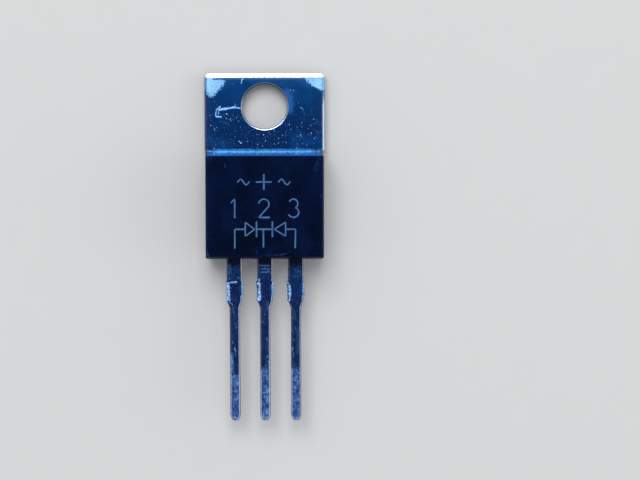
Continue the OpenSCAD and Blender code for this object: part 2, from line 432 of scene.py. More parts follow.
class Coat(Graph):
    """The graph of a finish: the place on its surface, and the colour laid on it so far."""

    def __init__(self, tree: bpy.types.NodeTree) -> None:
        """Reads the place on the surface in millimetres.

        Args:
            tree: The material's tree.
        """
        super().__init__(tree)
        texture = self.node("ShaderNodeTexCoord")
        self.place = self.vector("SCALE", texture.outputs["Object"], scale=1 / MM)
        self.colour: Colour | Socket = shade(0, 0, 0)

    def use(self, effect: Effect, place: Socket | None = None, **values: object) -> Socket:
        """Lays a shared effect.

        Args:
            effect: The effect.
            place: The place that it follows, if not the plain one.
            **values: Its other inputs, by name.

        Returns:
            Its result.
        """
        feeds = {"place": self.place if place is None else place, **values}
        node = self.node("ShaderNodeGroup", node_tree=effect.tree())
        for name, value in feeds.items():
            self.feed(node.inputs[name], value)
        return node.outputs[0]

    def lay(self, over: Colour | Socket, *masks: Value) -> None:
        """Lays a colour over what is there, by the product of masks."""
        self.colour = self.tint(self.both(*masks), self.colour, over)

    def at(self, axis: Triple, place: Socket | None = None) -> Socket:
        """How far along an axis the place on the surface lies, or another place."""
        return self.measure("DOT_PRODUCT", self.place if place is None else place, axis)

    def stretched(self, across: float, along: float) -> Socket:
        """The place with its X and Y multiplied, for effects that are drawn out one way."""
        return self.vector("MULTIPLY", self.place, (across, along, 1.0))

    def patches(self, strokes: Sequence[Patch], place: Socket | None = None) -> Socket:
        """Several strokes as one mask.

        Each mask is joined as it is made, because a shader can hold few values at a time.

        Args:
            strokes: The strokes.
            place: The place that they follow, if not the plain one.

        Returns:
            The highest of their masks, which is 0 where there is no stroke.
        """
        result = self.math("ADD", 0.0, 0.0)
        for stroke in strokes:
            ends = {"start": (*stroke.start, 0.0), "end": (*stroke.end, 0.0)}
            edge = {"half_width": stroke.half_width, "softness": stroke.softness}
            result = self.either(result, self.use(STROKE, place, **ends, **edge))
        return result

    def facet(self, outline: Sequence[Point], softness: float) -> Socket:
        """A patch with straight sides as a soft mask.

        Args:
            outline: Its corners, counter-clockwise.
            softness: Width of the soft edge on each side.

        Returns:
            The mask.
        """
        mask: Value = 1.0
        for start, end in zip(outline, (*outline[1:], outline[0])):
            way = (Vector(end) - Vector(start)).normalized()
            inward = Vector((-way.y, way.x))
            depth = self.at((inward.x, inward.y, 0.0))
            level = inward.dot(Vector(start))
            mask = self.both(mask, self.step(depth, level - softness, level + softness))
        return mask


# Finishes


@dataclass(frozen=True)
class Finish:
    """A surface finish: the shader's plain values, and the colours that its nodes mix."""

    name: str
    metallic: float = 0.0
    specular: float = 0.5
    bump: float = 0.5
    relief: float = 0.01

    def material(self) -> bpy.types.Material:
        """Finds the finish's material, or builds it on its first use.

        Returns:
            The material.
        """
        known = bpy.data.materials.get(self.name)
        if known is not None:
            return known
        material = bpy.data.materials.new(self.name)
        material.use_nodes = True
        coat = Coat(material.node_tree)
        shader = material.node_tree.nodes["Principled BSDF"]
        shader.inputs["Metallic"].default_value = self.metallic
        shader.inputs["Specular IOR Level"].default_value = self.specular
        roughness, height = self.paint(coat)
        coat.feed(shader.inputs["Base Color"], coat.colour)
        coat.feed(shader.inputs["Roughness"], roughness)
        feeds = {"Strength": self.bump, "Distance": self.relief * MM, "Height": height}
        coat.feed(shader.inputs["Normal"], coat.node("ShaderNodeBump", feeds).outputs[0])
        self.gloss(coat, shader)
        return material

    def paint(self, coat: Coat) -> tuple[Socket, Socket]:
        """Lays the finish's nodes.

        Args:
            coat: The coat, which takes the colour.

        Returns:
            The roughness and the height.
        """
        raise NotImplementedError

    def gloss(self, coat: Coat, shader: bpy.types.Node) -> None:
        """Sets what else the shader needs, which is nothing in most finishes."""


@dataclass(frozen=True)
class TabPlating(Finish):
    """Mirror-like plating on the heat sink, with its light painted in: deep blue flats that are a
    painted reflection, pale rolled edges and bent corners that are painted highlights, and scuffs.
    """

    metallic: float = 0.9
    bump: float = 0.25
    relief: float = 0.008
    deep: Colour = shade(2, 45, 106)
    middle: Colour = shade(2, 66, 130)
    high: Colour = shade(34, 104, 184)
    haze: Colour = shade(42, 68, 110)
    violet: Colour = shade(54, 124, 212)
    teal: Colour = shade(4, 76, 150)
    sheen: Colour = shade(20, 88, 160)
    contact_reflection: Colour = shade(64, 150, 234)
    contact_reflection_line: Colour = shade(88, 176, 250)
    dent_reflection_left: Colour = shade(130, 180, 220)
    dent_reflection_right: Colour = shade(144, 196, 240)
    dent_mottle_tone: Colour = shade(64, 118, 176)
    fleck: Colour = shade(150, 200, 244)
    end_highlight_fade: Colour = shade(104, 166, 222)
    end_roll: Colour = shade(250, 253, 255)
    right_roll_dim: Colour = shade(92, 122, 164)
    right_roll_lit: Colour = shade(166, 186, 210)
    left_roll_shade: Colour = shade(98, 112, 144)
    side: Colour = shade(52, 82, 128)
    rim_grey_reflection: Colour = shade(150, 152, 160)
    rim_shade: Colour = shade(54, 48, 56)
    rim_highlight: Colour = shade(192, 204, 220)
    end_y: float = 2.75
    contact_y: float = -3.7
    half_w: float = 5.0
    top_z: float = 1.27
    rim_r: float = 1.97
    dent_softness: float = 0.26

    def flats(self, coat: Coat) -> None:
        """Lays the colour of the flat as a painted reflection: deep navy, paler towards the free
        end and greyer towards both sides, with painted cloudy reflections and a painted glow beside
        the hole.

        Args:
            coat: The coat.
        """
        across = coat.math("ABSOLUTE", coat.at(X))
        drift = coat.use(RAGGED, reach=2.5, scale=0.35)
        soft_y = coat.at(Y, drift)
        coat.colour = self.deep
        coat.lay(self.middle, coat.step(soft_y, -2.2, 1.1))
        coat.lay(self.high, coat.step(soft_y, 1.3, 2.6))
        coat.lay(self.deep, coat.use(MOTTLE, scale=0.8, contrast=0.5), 0.25)
        coat.lay(self.haze, coat.step(across, 4.2, 4.9), 0.5)
        # Painted glow of reflected light along the right of the hole, with a tail towards the side.
        near = coat.use(RAGGED, reach=0.5, scale=1.6)
        beside_hole = chain([(1.8, 1.2), (2.08, 0.7), (2.14, 0.3), (2.05, -0.3)], 0.03, 0.5)
        glow = coat.patches(beside_hole, near)
        streaks = coat.use(MOTTLE, coat.stretched(0.5, 2.4), scale=5.0, contrast=0.7)
        coat.lay(self.violet, glow, coat.blend(streaks, 0.82, 1.0))
        tail = coat.patches([Patch((2.1, 1.25), (2.6, 1.2), 0.02, 0.3)], near)
        coat.lay(self.violet, tail, streaks, 0.5)
        stains = [
            Patch((3.0, -2.8), (4.5, -3.0), 0.25, 0.8),
            Patch((-4.3, -3.0), (-3.4, -3.2), 0.1, 0.8),
            Patch((-2.4, 0.9), (-2.2, 1.7), 0.2, 0.8),
            Patch((2.7, 0.9), (3.9, 0.9), 0.1, 0.7),
        ]
        coat.lay(self.teal, coat.patches(stains, drift), 0.7)
        coat.lay(self.sheen, coat.use(MOTTLE, scale=7.0, contrast=0.5), 0.28)

    def contact(self, coat: Coat) -> None:
        """Lays a painted reflection: the bright strip along the moulding, with a brighter line next
        to it.

        Args:
            coat: The coat.
        """
        x = coat.at(X)
        wavy_y = coat.at(Y, coat.use(RAGGED, reach=0.18, scale=2.2))
        streak = coat.use(MOTTLE, scale=3.2, contrast=0.4)
        upper = coat.both(
            coat.step(wavy_y, self.contact_y + 0.25, self.contact_y + 0.1),
            coat.step(x, -4.4, -4.05),
            coat.step(x, 4.35, 3.5),
        )
        # Painted reflection along the foot of the moulding.
        coat.lay(self.contact_reflection, upper, coat.blend(streak, 0.65, 1.0))
        line = coat.step(wavy_y, self.contact_y + 0.15, self.contact_y + 0.06)
        coat.lay(self.contact_reflection_line, line, coat.blend(streak, 0.15, 0.9))

    def dents(self, coat: Coat) -> Socket:
        """Finds the two dented corners of the free end, which have torn edges.

        Args:
            coat: The coat.

        Returns:
            The mask.
        """
        left = coat.facet(
            [(-5.4, 2.8), (-5.4, 2.3), (-4.66, 0.8), (-4.35, 0.75), (-3.3, 1.9), (-3.25, 2.8)],
            self.dent_softness,
        )
        gap = coat.patches([Patch((-4.15, 2.34), (-3.0, 2.42), 0.08, 0.16)])
        left = coat.limit(coat.math("SUBTRACT", left, gap))
        right = coat.facet(
            [(3.35, 2.2), (3.9, 1.7), (4.95, 1.25), (5.4, 1.2), (5.4, 2.8), (3.5, 2.8)],
            self.dent_softness,
        )
        return coat.use(TORN, mask=coat.either(left, right), scale=10.0, amount=2.8)

    def scratches(self, coat: Coat) -> tuple[Socket, Socket]:
        """Finds the hooked scratch and the lesser ones.

        Args:
            coat: The coat.

        Returns:
            The masks of their core and of the glow round them.
        """
        fine = coat.use(RAGGED, reach=0.14, scale=7.0)
        hook = [
            Patch((-2.02, -0.15), (-2.5, -0.08), 0.012, 0.05),
            Patch((-2.5, -0.07), (-3.1, -0.14), 0.035, 0.06),
            Patch((-3.1, -0.16), (-3.75, -0.27), 0.045, 0.06),
            Patch((-3.68, -0.02), (-3.92, -0.18), 0.0, 0.06),
            Patch((-3.8, -0.34), (-3.83, -0.62), 0.0, 0.06),
            Patch((-4.0, -0.82), (-3.62, -0.86), 0.03, 0.06),
            *chain([(-3.95, -0.18), (-4.03, -0.4), (-4.06, -0.7)], 0.0, 0.06),
        ]
        others = [
            *chain([(-1.8, 2.34), (-1.93, 2.1), (-1.92, 1.95)], 0.01, 0.05),
            Patch((-3.2, -0.55), (-3.13, -0.64), 0.0, 0.06),
            Patch((2.96, -0.08), (3.2, -0.24), 0.0, 0.03),
            Patch((-2.15, -2.86), (-1.93, -3.05), 0.0, 0.05),
        ]
        core = coat.use(TORN, mask=coat.patches(hook + others, fine), scale=9.0, amount=3.0)
        around = [replace(p, half_width=p.half_width + 0.02, softness=0.12) for p in hook]
        return core, coat.both(coat.patches(around, fine), 0.75)

    def specks(self, coat: Coat) -> Socket:
        """Finds the bright pits and dust: single larger ones and many small ones.

        Args:
            coat: The coat.

        Returns:
            The mask.
        """
        wide = [(-0.1, -2.34), (2.98, -2.36), (3.87, -2.21), (-4.18, -1.88), (-1.95, -3.02)]
        medium = [(-2.44, 0.11), (2.38, 1.34), (2.05, -1.5), (0.06, -2.86), (2.65, -3.46)]
        narrow = [(-2.12, -2.87), (1.14, -3.04), (-0.2, -3.26), (2.14, 1.36), (-0.58, -3.14)]
        narrow += [(-2.82, -1.18), (-2.34, -0.94), (-1.42, -2.9), (1.48, -2.38)]
        bright = coat.patches(dots(wide, 0.075) + dots(medium, 0.06) + dots(narrow, 0.05))
        many = coat.step(coat.at(Y), 0.8, -1.8)
        large = coat.use(FLECKS, coat.stretched(1.0, 0.7), scale=3.0, radius=0.22, share=0.65)
        small = coat.use(FLECKS, scale=6.5, radius=0.4, share=0.7)
        scatter = coat.either(coat.both(large, 0.9), coat.both(small, 0.8))
        return coat.either(bright, coat.both(scatter, coat.blend(many, 0.25, 1.0)))

    def edges(self, coat: Coat) -> None:
        """Lays the painted highlights on the rolled edges, and the flanks.

        Args:
            coat: The coat.
        """
        x, y, z = map(coat.at, AXES)
        wavy = coat.use(RAGGED, reach=0.2, scale=6.0)
        wavy_x, wavy_y = coat.at(X, wavy), coat.at(Y, wavy)
        # Painted highlight on the rolled free end: a pale fade, then a white band.
        coat.lay(self.end_highlight_fade, coat.step(wavy_y, self.end_y - 0.6, self.end_y - 0.34), 0.7)
        coat.lay(self.end_roll, coat.step(wavy_y, self.end_y - 0.4, self.end_y - 0.27))
        # Painted highlight on the right roll, dimmer towards the free end and brighter further from
        # it.
        at_right = coat.step(wavy_x, self.half_w - 0.26, self.half_w - 0.16)
        roll = coat.tint(coat.step(y, 1.0, -0.1), self.right_roll_dim, self.right_roll_lit)
        coat.lay(roll, at_right, coat.step(y, 1.4, 1.1))
        # The left roll takes a dimmer painted shade.
        at_left = coat.both(coat.step(x, -self.half_w + 0.2, -self.half_w + 0.1), 0.75)
        coat.lay(self.left_roll_shade, at_left, coat.step(y, 1.3, 0.9))
        # The flanks and back take a cool steel blue, the same cast as the painted reflection on the
        # front.
        coat.lay(self.side, self.below(coat, z))

    def below(self, coat: Coat, z: Socket) -> Socket:
        """The mask of the flanks and the back."""
        return coat.step(z, self.top_z - 0.28, self.top_z - 0.5)

    def rim(self, coat: Coat) -> None:
        """Lays the broken edge of the hole with painted light: a pale painted highlight below, a
        thin pale line round it, and above a painted shade that turns to a painted grey reflection
        towards the sides.

        Args:
            coat: The coat.
        """
        x, y, z = map(coat.at, AXES)
        radius = coat.measure("LENGTH", coat.vector("MULTIPLY", coat.place, FRONT_PLANE))
        outside_wall = coat.step(radius, self.rim_r + 0.02, self.rim_r - 0.01)
        bevel = coat.both(outside_wall, coat.step(z, 0.9, 1.05))
        lower = coat.step(coat.math("ADD", y, coat.both(x, -0.2)), -0.1, -1.2)
        thin = coat.both(coat.step(radius, self.rim_r - 0.055, self.rim_r - 0.02), 0.7)
        # Painted shade on the upper bevel, painted grey reflection at the sides.
        upper = coat.tint(coat.step(y, -0.2, 1.4), self.rim_grey_reflection, self.rim_shade)
        lit = coat.either(coat.both(lower, 0.75), thin)
        coat.lay(coat.tint(lit, upper, self.rim_highlight), bevel)

    def paint(self, coat: Coat) -> tuple[Socket, Socket]:
        """Lays the finish's nodes.

        Args:
            coat: The coat, which takes the colour.

        Returns:
            The roughness and the height.
        """
        x, z = coat.at(X), coat.at(Z)
        self.flats(coat)
        self.contact(coat)
        dents = self.dents(coat)
        # The bent corners take a painted reflection of the bright window, a little brighter on the
        # right corner, broken by a darker mottle.
        dent_mottle = coat.use(MOTTLE, scale=11.0, contrast=0.3)
        dent_reflection = coat.tint(coat.step(x, -1.0, 1.0), self.dent_reflection_left, self.dent_reflection_right)
        coat.lay(coat.tint(coat.blend(dent_mottle, 0.45, 0.0), dent_reflection, self.dent_mottle_tone), dents)
        core, glow = self.scratches(coat)
        coat.lay(self.violet, glow)
        marks = coat.either(core, self.specks(coat))
        coat.lay(self.fleck, marks, coat.math("SUBTRACT", 1.0, dents), 0.9)
        self.edges(coat)
        self.rim(coat)
        below = self.below(coat, z)
        roughness = coat.blend(coat.either(dents, marks), 0.17, 0.42)
        roughness = coat.blend(below, roughness, 0.36)
        hairlines = coat.use(FINE_SCRATCHES, scale=1.1)
        grain = coat.use(MOTTLE, scale=14.0, contrast=1.0)
        height = coat.math("ADD", coat.both(grain, 0.5), coat.both(hairlines, 0.3))
        return roughness, coat.math("SUBTRACT", height, coat.both(core, 0.6))


@dataclass(frozen=True)
class LeadPlating(Finish):
    """Tin plating on the leads: a deep blue painted reflection, a painted shadow near the moulding,
    painted highlights on the rolled edges and tips, and a dull, mottled third at the tips.
    """

    metallic: float = 0.85
    bump: float = 0.4
    relief: float = 0.012
    shadow: Colour = shade(8, 11, 30)
    deep: Colour = shade(6, 31, 82)
    clear: Colour = shade(20, 70, 132)
    violet: Colour = shade(14, 26, 84)
    mauve: Colour = shade(78, 62, 108)
    dull: Colour = shade(24, 60, 140)
    haze: Colour = shade(116, 172, 238)
    stain: Colour = shade(60, 60, 132)
    sheen: Colour = shade(48, 108, 176)
    glow: Colour = shade(20, 74, 156)
    soft: Colour = shade(104, 152, 212)
    pale: Colour = shade(146, 182, 226)
    bright: Colour = shade(164, 206, 255)
    nick: Colour = shade(146, 190, 250)
    glint: Colour = shade(236, 240, 248)
    rolled: Colour = shade(196, 204, 226)
    lilac: Colour = shade(130, 128, 168)
    dark: Colour = shade(14, 18, 40)
    flank: Colour = shade(112, 132, 168)
    front_z: float = 2.9
    tip_y: float = -26.0
    pitch: float = 2.54
    centre: float = 0.0
    wear_y: float = -21.45
    wear_slope: float = 0.0
    worn_left: bool = False
    bright_edge: bool = True

    def own(self, strokes: Sequence[Patch]) -> list[Patch]:
        """The strokes that lie on this finish's own lead."""
        return [stroke for stroke in strokes if abs(stroke.start[0] - self.centre) < self.pitch / 2]

    def sheared(self, coat: Coat) -> Socket:
        """Lays the torn metal where the tie bars were cut off.

        Args:
            coat: The coat.

        Returns:
            The mask of the torn metal.
        """
        burrs = [
            Patch((-3.08, -14.64), (-3.04, -15.2), 0.07, 0.15),
            Patch((-3.04, -15.2), (-3.02, -15.85), 0.05, 0.15),
            Patch((-2.97, -15.8), (-2.91, -16.05), 0.0, 0.1),
            Patch((-0.48, -14.28), (-0.49, -14.6), 0.0, 0.08),
            Patch((-0.62, -14.6), (-0.36, -14.7), 0.0, 0.1),
            Patch((-0.47, -14.7), (-0.46, -15.3), 0.02, 0.14),
            Patch((-0.47, -15.3), (-0.46, -15.85), 0.04, 0.14),
            Patch((-0.54, -15.88), (-0.44, -15.94), 0.06, 0.12),
            Patch((1.86, -14.44), (2.06, -14.82), 0.0, 0.11),
            Patch((2.05, -14.85), (2.06, -15.6), 0.03, 0.13),
            Patch((2.05, -15.6), (2.02, -16.0), 0.0, 0.12),
        ]
        stubs = [
            Patch((-1.86, -14.62), (-1.84, -15.42), 0.03, 0.12),
            Patch((0.64, -14.7), (0.66, -15.58), 0.04, 0.12),
            Patch((3.2, -14.6), (3.19, -15.4), 0.03, 0.12),
        ]
        glows = [
            Patch((p.start[0] - 0.12, p.start[1] - 0.2), (p.end[0] - 0.12, p.end[1]), 0.02, 0.2)
            for p in self.own(stubs)
        ]
        coat.lay(self.glow, coat.patches(glows), 0.75)
        torn_burrs = coat.use(TORN, mask=coat.patches(self.own(burrs)), scale=11.0, amount=4.6)
        torn_stubs = coat.use(TORN, mask=coat.patches(self.own(stubs)), scale=9.0, amount=3.0)
        ridges = coat.use(MOTTLE, scale=7.0, contrast=0.35)
        coat.lay(coat.tint(ridges, self.soft, self.pale), torn_stubs, 0.9)
        coat.lay(coat.tint(ridges, self.soft, self.bright), torn_burrs)
        tops = dots([(0.63, -14.68), (-2.4, -14.46)], 0.07)
        coat.lay(self.glint, coat.patches(self.own(tops)))
        return coat.either(torn_burrs, torn_stubs)

    def scuffs(self, coat: Coat) -> tuple[Socket, Socket]:
        """Finds the smears and nicks on the front faces, with a soft painted sheen at the top of
        the left lead.

        Args:
            coat: The coat.

        Returns:
            The masks of the soft ones and of the sharp ones.
        """
        fine = coat.use(RAGGED, reach=0.12, scale=7.0)
        nicks = [
            Patch((-2.86, -14.53), (-2.36, -14.5), 0.035, 0.06),
            Patch((-2.94, -16.18), (-2.68, -16.38), 0.0, 0.05),
            Patch((-2.53, -19.95), (-2.44, -20.2), 0.0, 0.07),
            Patch((-0.37, -19.62), (-0.38, -19.76), 0.0, 0.08),
            Patch((2.27, -19.95), (2.26, -20.22), 0.0, 0.07),
            Patch((0.2, -20.62), (0.2, -20.72), 0.0, 0.07),
            *dots([(2.09, -16.4), (2.27, -17.46), (2.52, -18.32), (-2.95, -14.17)], 0.06),
            *dots([(-2.95, -13.77), (-0.03, -17.18), (-2.71, -19.03), (-2.37, -18.26)], 0.05),
        ]
        smears = [
            Patch((-0.32, -13.7), (0.36, -13.68), 0.03, 0.07),
            Patch((-0.28, -13.42), (0.38, -13.42), 0.0, 0.09),
            Patch((-0.55, -13.12), (0.36, -13.14), 0.0, 0.1),
            Patch((-0.02, -13.3), (0.2, -13.55), 0.0, 0.12),
            Patch((-2.24, -14.08), (-2.16, -14.18), 0.0, 0.1),
            Patch((-2.68, -19.3), (-2.68, -19.55), 0.0, 0.1),
            Patch((-2.46, -20.3), (-2.46, -20.65), 0.0, 0.07),
            Patch((0.17, -19.1), (0.17, -19.4), 0.0, 0.12),
            Patch((-0.12, -17.8), (-0.16, -17.9), 0.0, 0.08),
            Patch((2.3, -19.22), (2.42, -19.34), 0.0, 0.08),
            Patch((2.36, -20.34), (2.37, -20.7), 0.0, 0.08),
        ]
        # Faint smears, and at the top of the left lead a soft painted sheen.
        faint_smears_and_sheen = [
            Patch((2.2, -14.0), (3.05, -13.98), 0.0, 0.09),
            Patch((2.5, -13.5), (2.9, -13.7), 0.0, 0.2),
            Patch((-2.92, -13.12), (-2.9, -13.7), 0.02, 0.2),
            Patch((-2.66, -16.66), (-2.58, -17.0), 0.02, 0.18),
            Patch((-2.45, -17.9), (-2.4, -18.4), 0.0, 0.16),
            Patch((0.2, -16.2), (0.2, -16.75), 0.02, 0.18),
            Patch((0.2, -19.6), (0.24, -20.2), 0.0, 0.16),
            Patch((2.7, -18.6), (2.7, -20.4), 0.0, 0.2),
            Patch((2.4, -16.9), (2.5, -17.6), 0.0, 0.2),
        ]
        sharp, blurred, faint = (
            coat.patches(self.own(strokes), fine) for strokes in (nicks, smears, faint_smears_and_sheen)
        )
        streaks = coat.use(MOTTLE, coat.stretched(0.8, 2.2), scale=5.5, contrast=0.3)
        soft = coat.either(blurred, coat.both(faint, 0.45))
        return coat.both(soft, coat.blend(streaks, 0.05, 0.6)), sharp

    def worn(self, coat: Coat, from_left: Socket, from_right: Socket) -> Socket:
        """Lays the dull and mottled third at the tips.

        Args:
            coat: The coat.
            from_left: The distance from the lead's left edge.
            from_right: The distance from its right edge.

        Returns:
            The mask of the dull third.
        """
        across = coat.math("SUBTRACT", from_left, from_right)
        ragged_y = coat.at(Y, coat.use(RAGGED, reach=1.3, scale=1.7))
        level = coat.math("SUBTRACT", ragged_y, coat.both(across, self.wear_slope))
        worn = coat.step(level, self.wear_y + 0.2, self.wear_y - 0.2)
        if self.worn_left:
            band = coat.both(coat.step(from_left, 0.38, 0.22), coat.step(ragged_y, -20.1, -20.6))
            worn = coat.either(worn, coat.both(band, 0.85))
        worn = coat.both(worn, 0.95)
        drawn = coat.stretched(1.2, 0.8)
        patchy = coat.use(MOTTLE, drawn, scale=3.6, contrast=0.22)
        fine = coat.use(MOTTLE, drawn, scale=9.0, contrast=0.22)
        cloud = coat.math("ADD", coat.both(patchy, 0.55), coat.both(fine, 0.45))
        wiped = coat.tint(cloud, self.dull, self.haze)
        stained = coat.use(MOTTLE, scale=1.5, contrast=0.16)
        wiped = coat.tint(coat.both(stained, 0.5), wiped, self.stain)
        spots = coat.use(MOTTLE, drawn, scale=5.0, contrast=0.16)
        coat.lay(coat.tint(coat.both(spots, 0.7), wiped, self.deep), worn)
        return worn

    def edges(self, coat: Coat, worn: Socket, from_left: Socket, from_right: Socket) -> None:
        """Lays the painted highlights on the rolled edges and the cut tips, and a painted shade
        along the outermost edge.

        Args:
            coat: The coat.
            worn: The mask of the dull third.
            from_left: The distance from the lead's left edge.
            from_right: The distance from its right edge.
        """
        y = coat.at(Y)
        cut_y = coat.at(Y, coat.use(RAGGED, reach=0.3, scale=6.0))
        blotch = coat.use(MOTTLE, scale=8.0, contrast=0.35)
        # Painted highlight on the bent-down cut tip.
        cap = coat.both(
            coat.step(cut_y, self.tip_y + 0.38, self.tip_y + 0.24),
            coat.step(coat.math("MINIMUM", from_left, from_right), 0.0, 0.08),
        )
        coat.lay(coat.tint(blotch, self.sheen, self.bright), cap, 0.9)
        pale = coat.blend(blotch, 0.45, 1.0)
        # Painted highlights along both rolled edges, brighter and whiter on the right.
        left_line = coat.step(from_left, 0.13, 0.07)
        left = coat.tint(worn, self.lilac, self.rolled)
        coat.lay(left, left_line, coat.blend(worn, 0.45, pale))
        above = coat.step(y, -14.6, -14.2)
        width = coat.blend(above, 0.14, 0.09)
        right_line = coat.step(from_right, width, coat.math("SUBTRACT", width, 0.03))
        right = coat.tint(above, self.rolled, self.glint)
        if not self.bright_edge:
            right = coat.tint(0.35, self.rolled, self.lilac)
        coat.lay(right, right_line, coat.blend(worn, 0.95, pale))
        # Painted shade along the outermost edge.
        rim = coat.math("MINIMUM", from_left, from_right)
        coat.lay(self.dark, coat.step(rim, 0.05, 0.03), 0.9)

    def paint(self, coat: Coat) -> tuple[Socket, Socket]:
        """Lays the finish's nodes.

        Args:
            coat: The coat, which takes the colour.

        Returns:
            The roughness and the height.
        """
        y, z = coat.at(Y), coat.at(Z)
        from_left, from_right = (
            coat.node("ShaderNodeAttribute", attribute_name=name).outputs["Fac"]
            for name in ("from_left", "from_right")
        )
        grain = coat.use(MOTTLE, coat.stretched(1.0, 0.6), scale=7.0, contrast=0.4)
        cloud = coat.use(MOTTLE, scale=1.2, contrast=0.4)
        # The deep blue and its clouds are a painted reflection of a dark sky.
        coat.colour = self.deep
        coat.lay(self.clear, grain, coat.blend(cloud, 0.35, 1.0))
        below_stubs = coat.both(coat.step(y, -14.4, -14.9), coat.step(y, -16.6, -16.2))
        coat.lay(self.violet, below_stubs, coat.blend(cloud, 0.5, 0.2))
        coat.lay(self.violet, coat.patches([Patch((-0.3, -20.1), (-0.28, -21.5), 0.12, 0.25)]), 0.7)
        near_left = coat.both(coat.step(from_left, 0.24, 0.1), coat.step(y, -16.4, -16.8))
        coat.lay(self.mauve, near_left, 0.45)
        coat.lay(self.haze, coat.use(FLECKS, scale=8.0, radius=0.5, share=0.75), 0.5)
        worn = self.worn(coat, from_left, from_right)
        near_y = coat.at(Y, coat.use(RAGGED, reach=0.5, scale=2.0))
        coat.lay(self.shadow, coat.step(near_y, -13.4, -12.95), 0.92)
        smears, nicks = self.scuffs(coat)
        coat.lay(self.soft, smears)
        coat.lay(self.nick, nicks)
        self.edges(coat, worn, from_left, from_right)
        sheared = self.sheared(coat)
        coat.lay(self.flank, coat.step(z, self.front_z - 0.08, self.front_z - 0.13))
        roughness = coat.blend(coat.either(worn, sheared, smears), 0.22, 0.46)
        pits = coat.use(FLECKS, scale=9.0, radius=0.4, share=0.25)
        return roughness, coat.math("SUBTRACT", grain, coat.both(pits, 0.6))


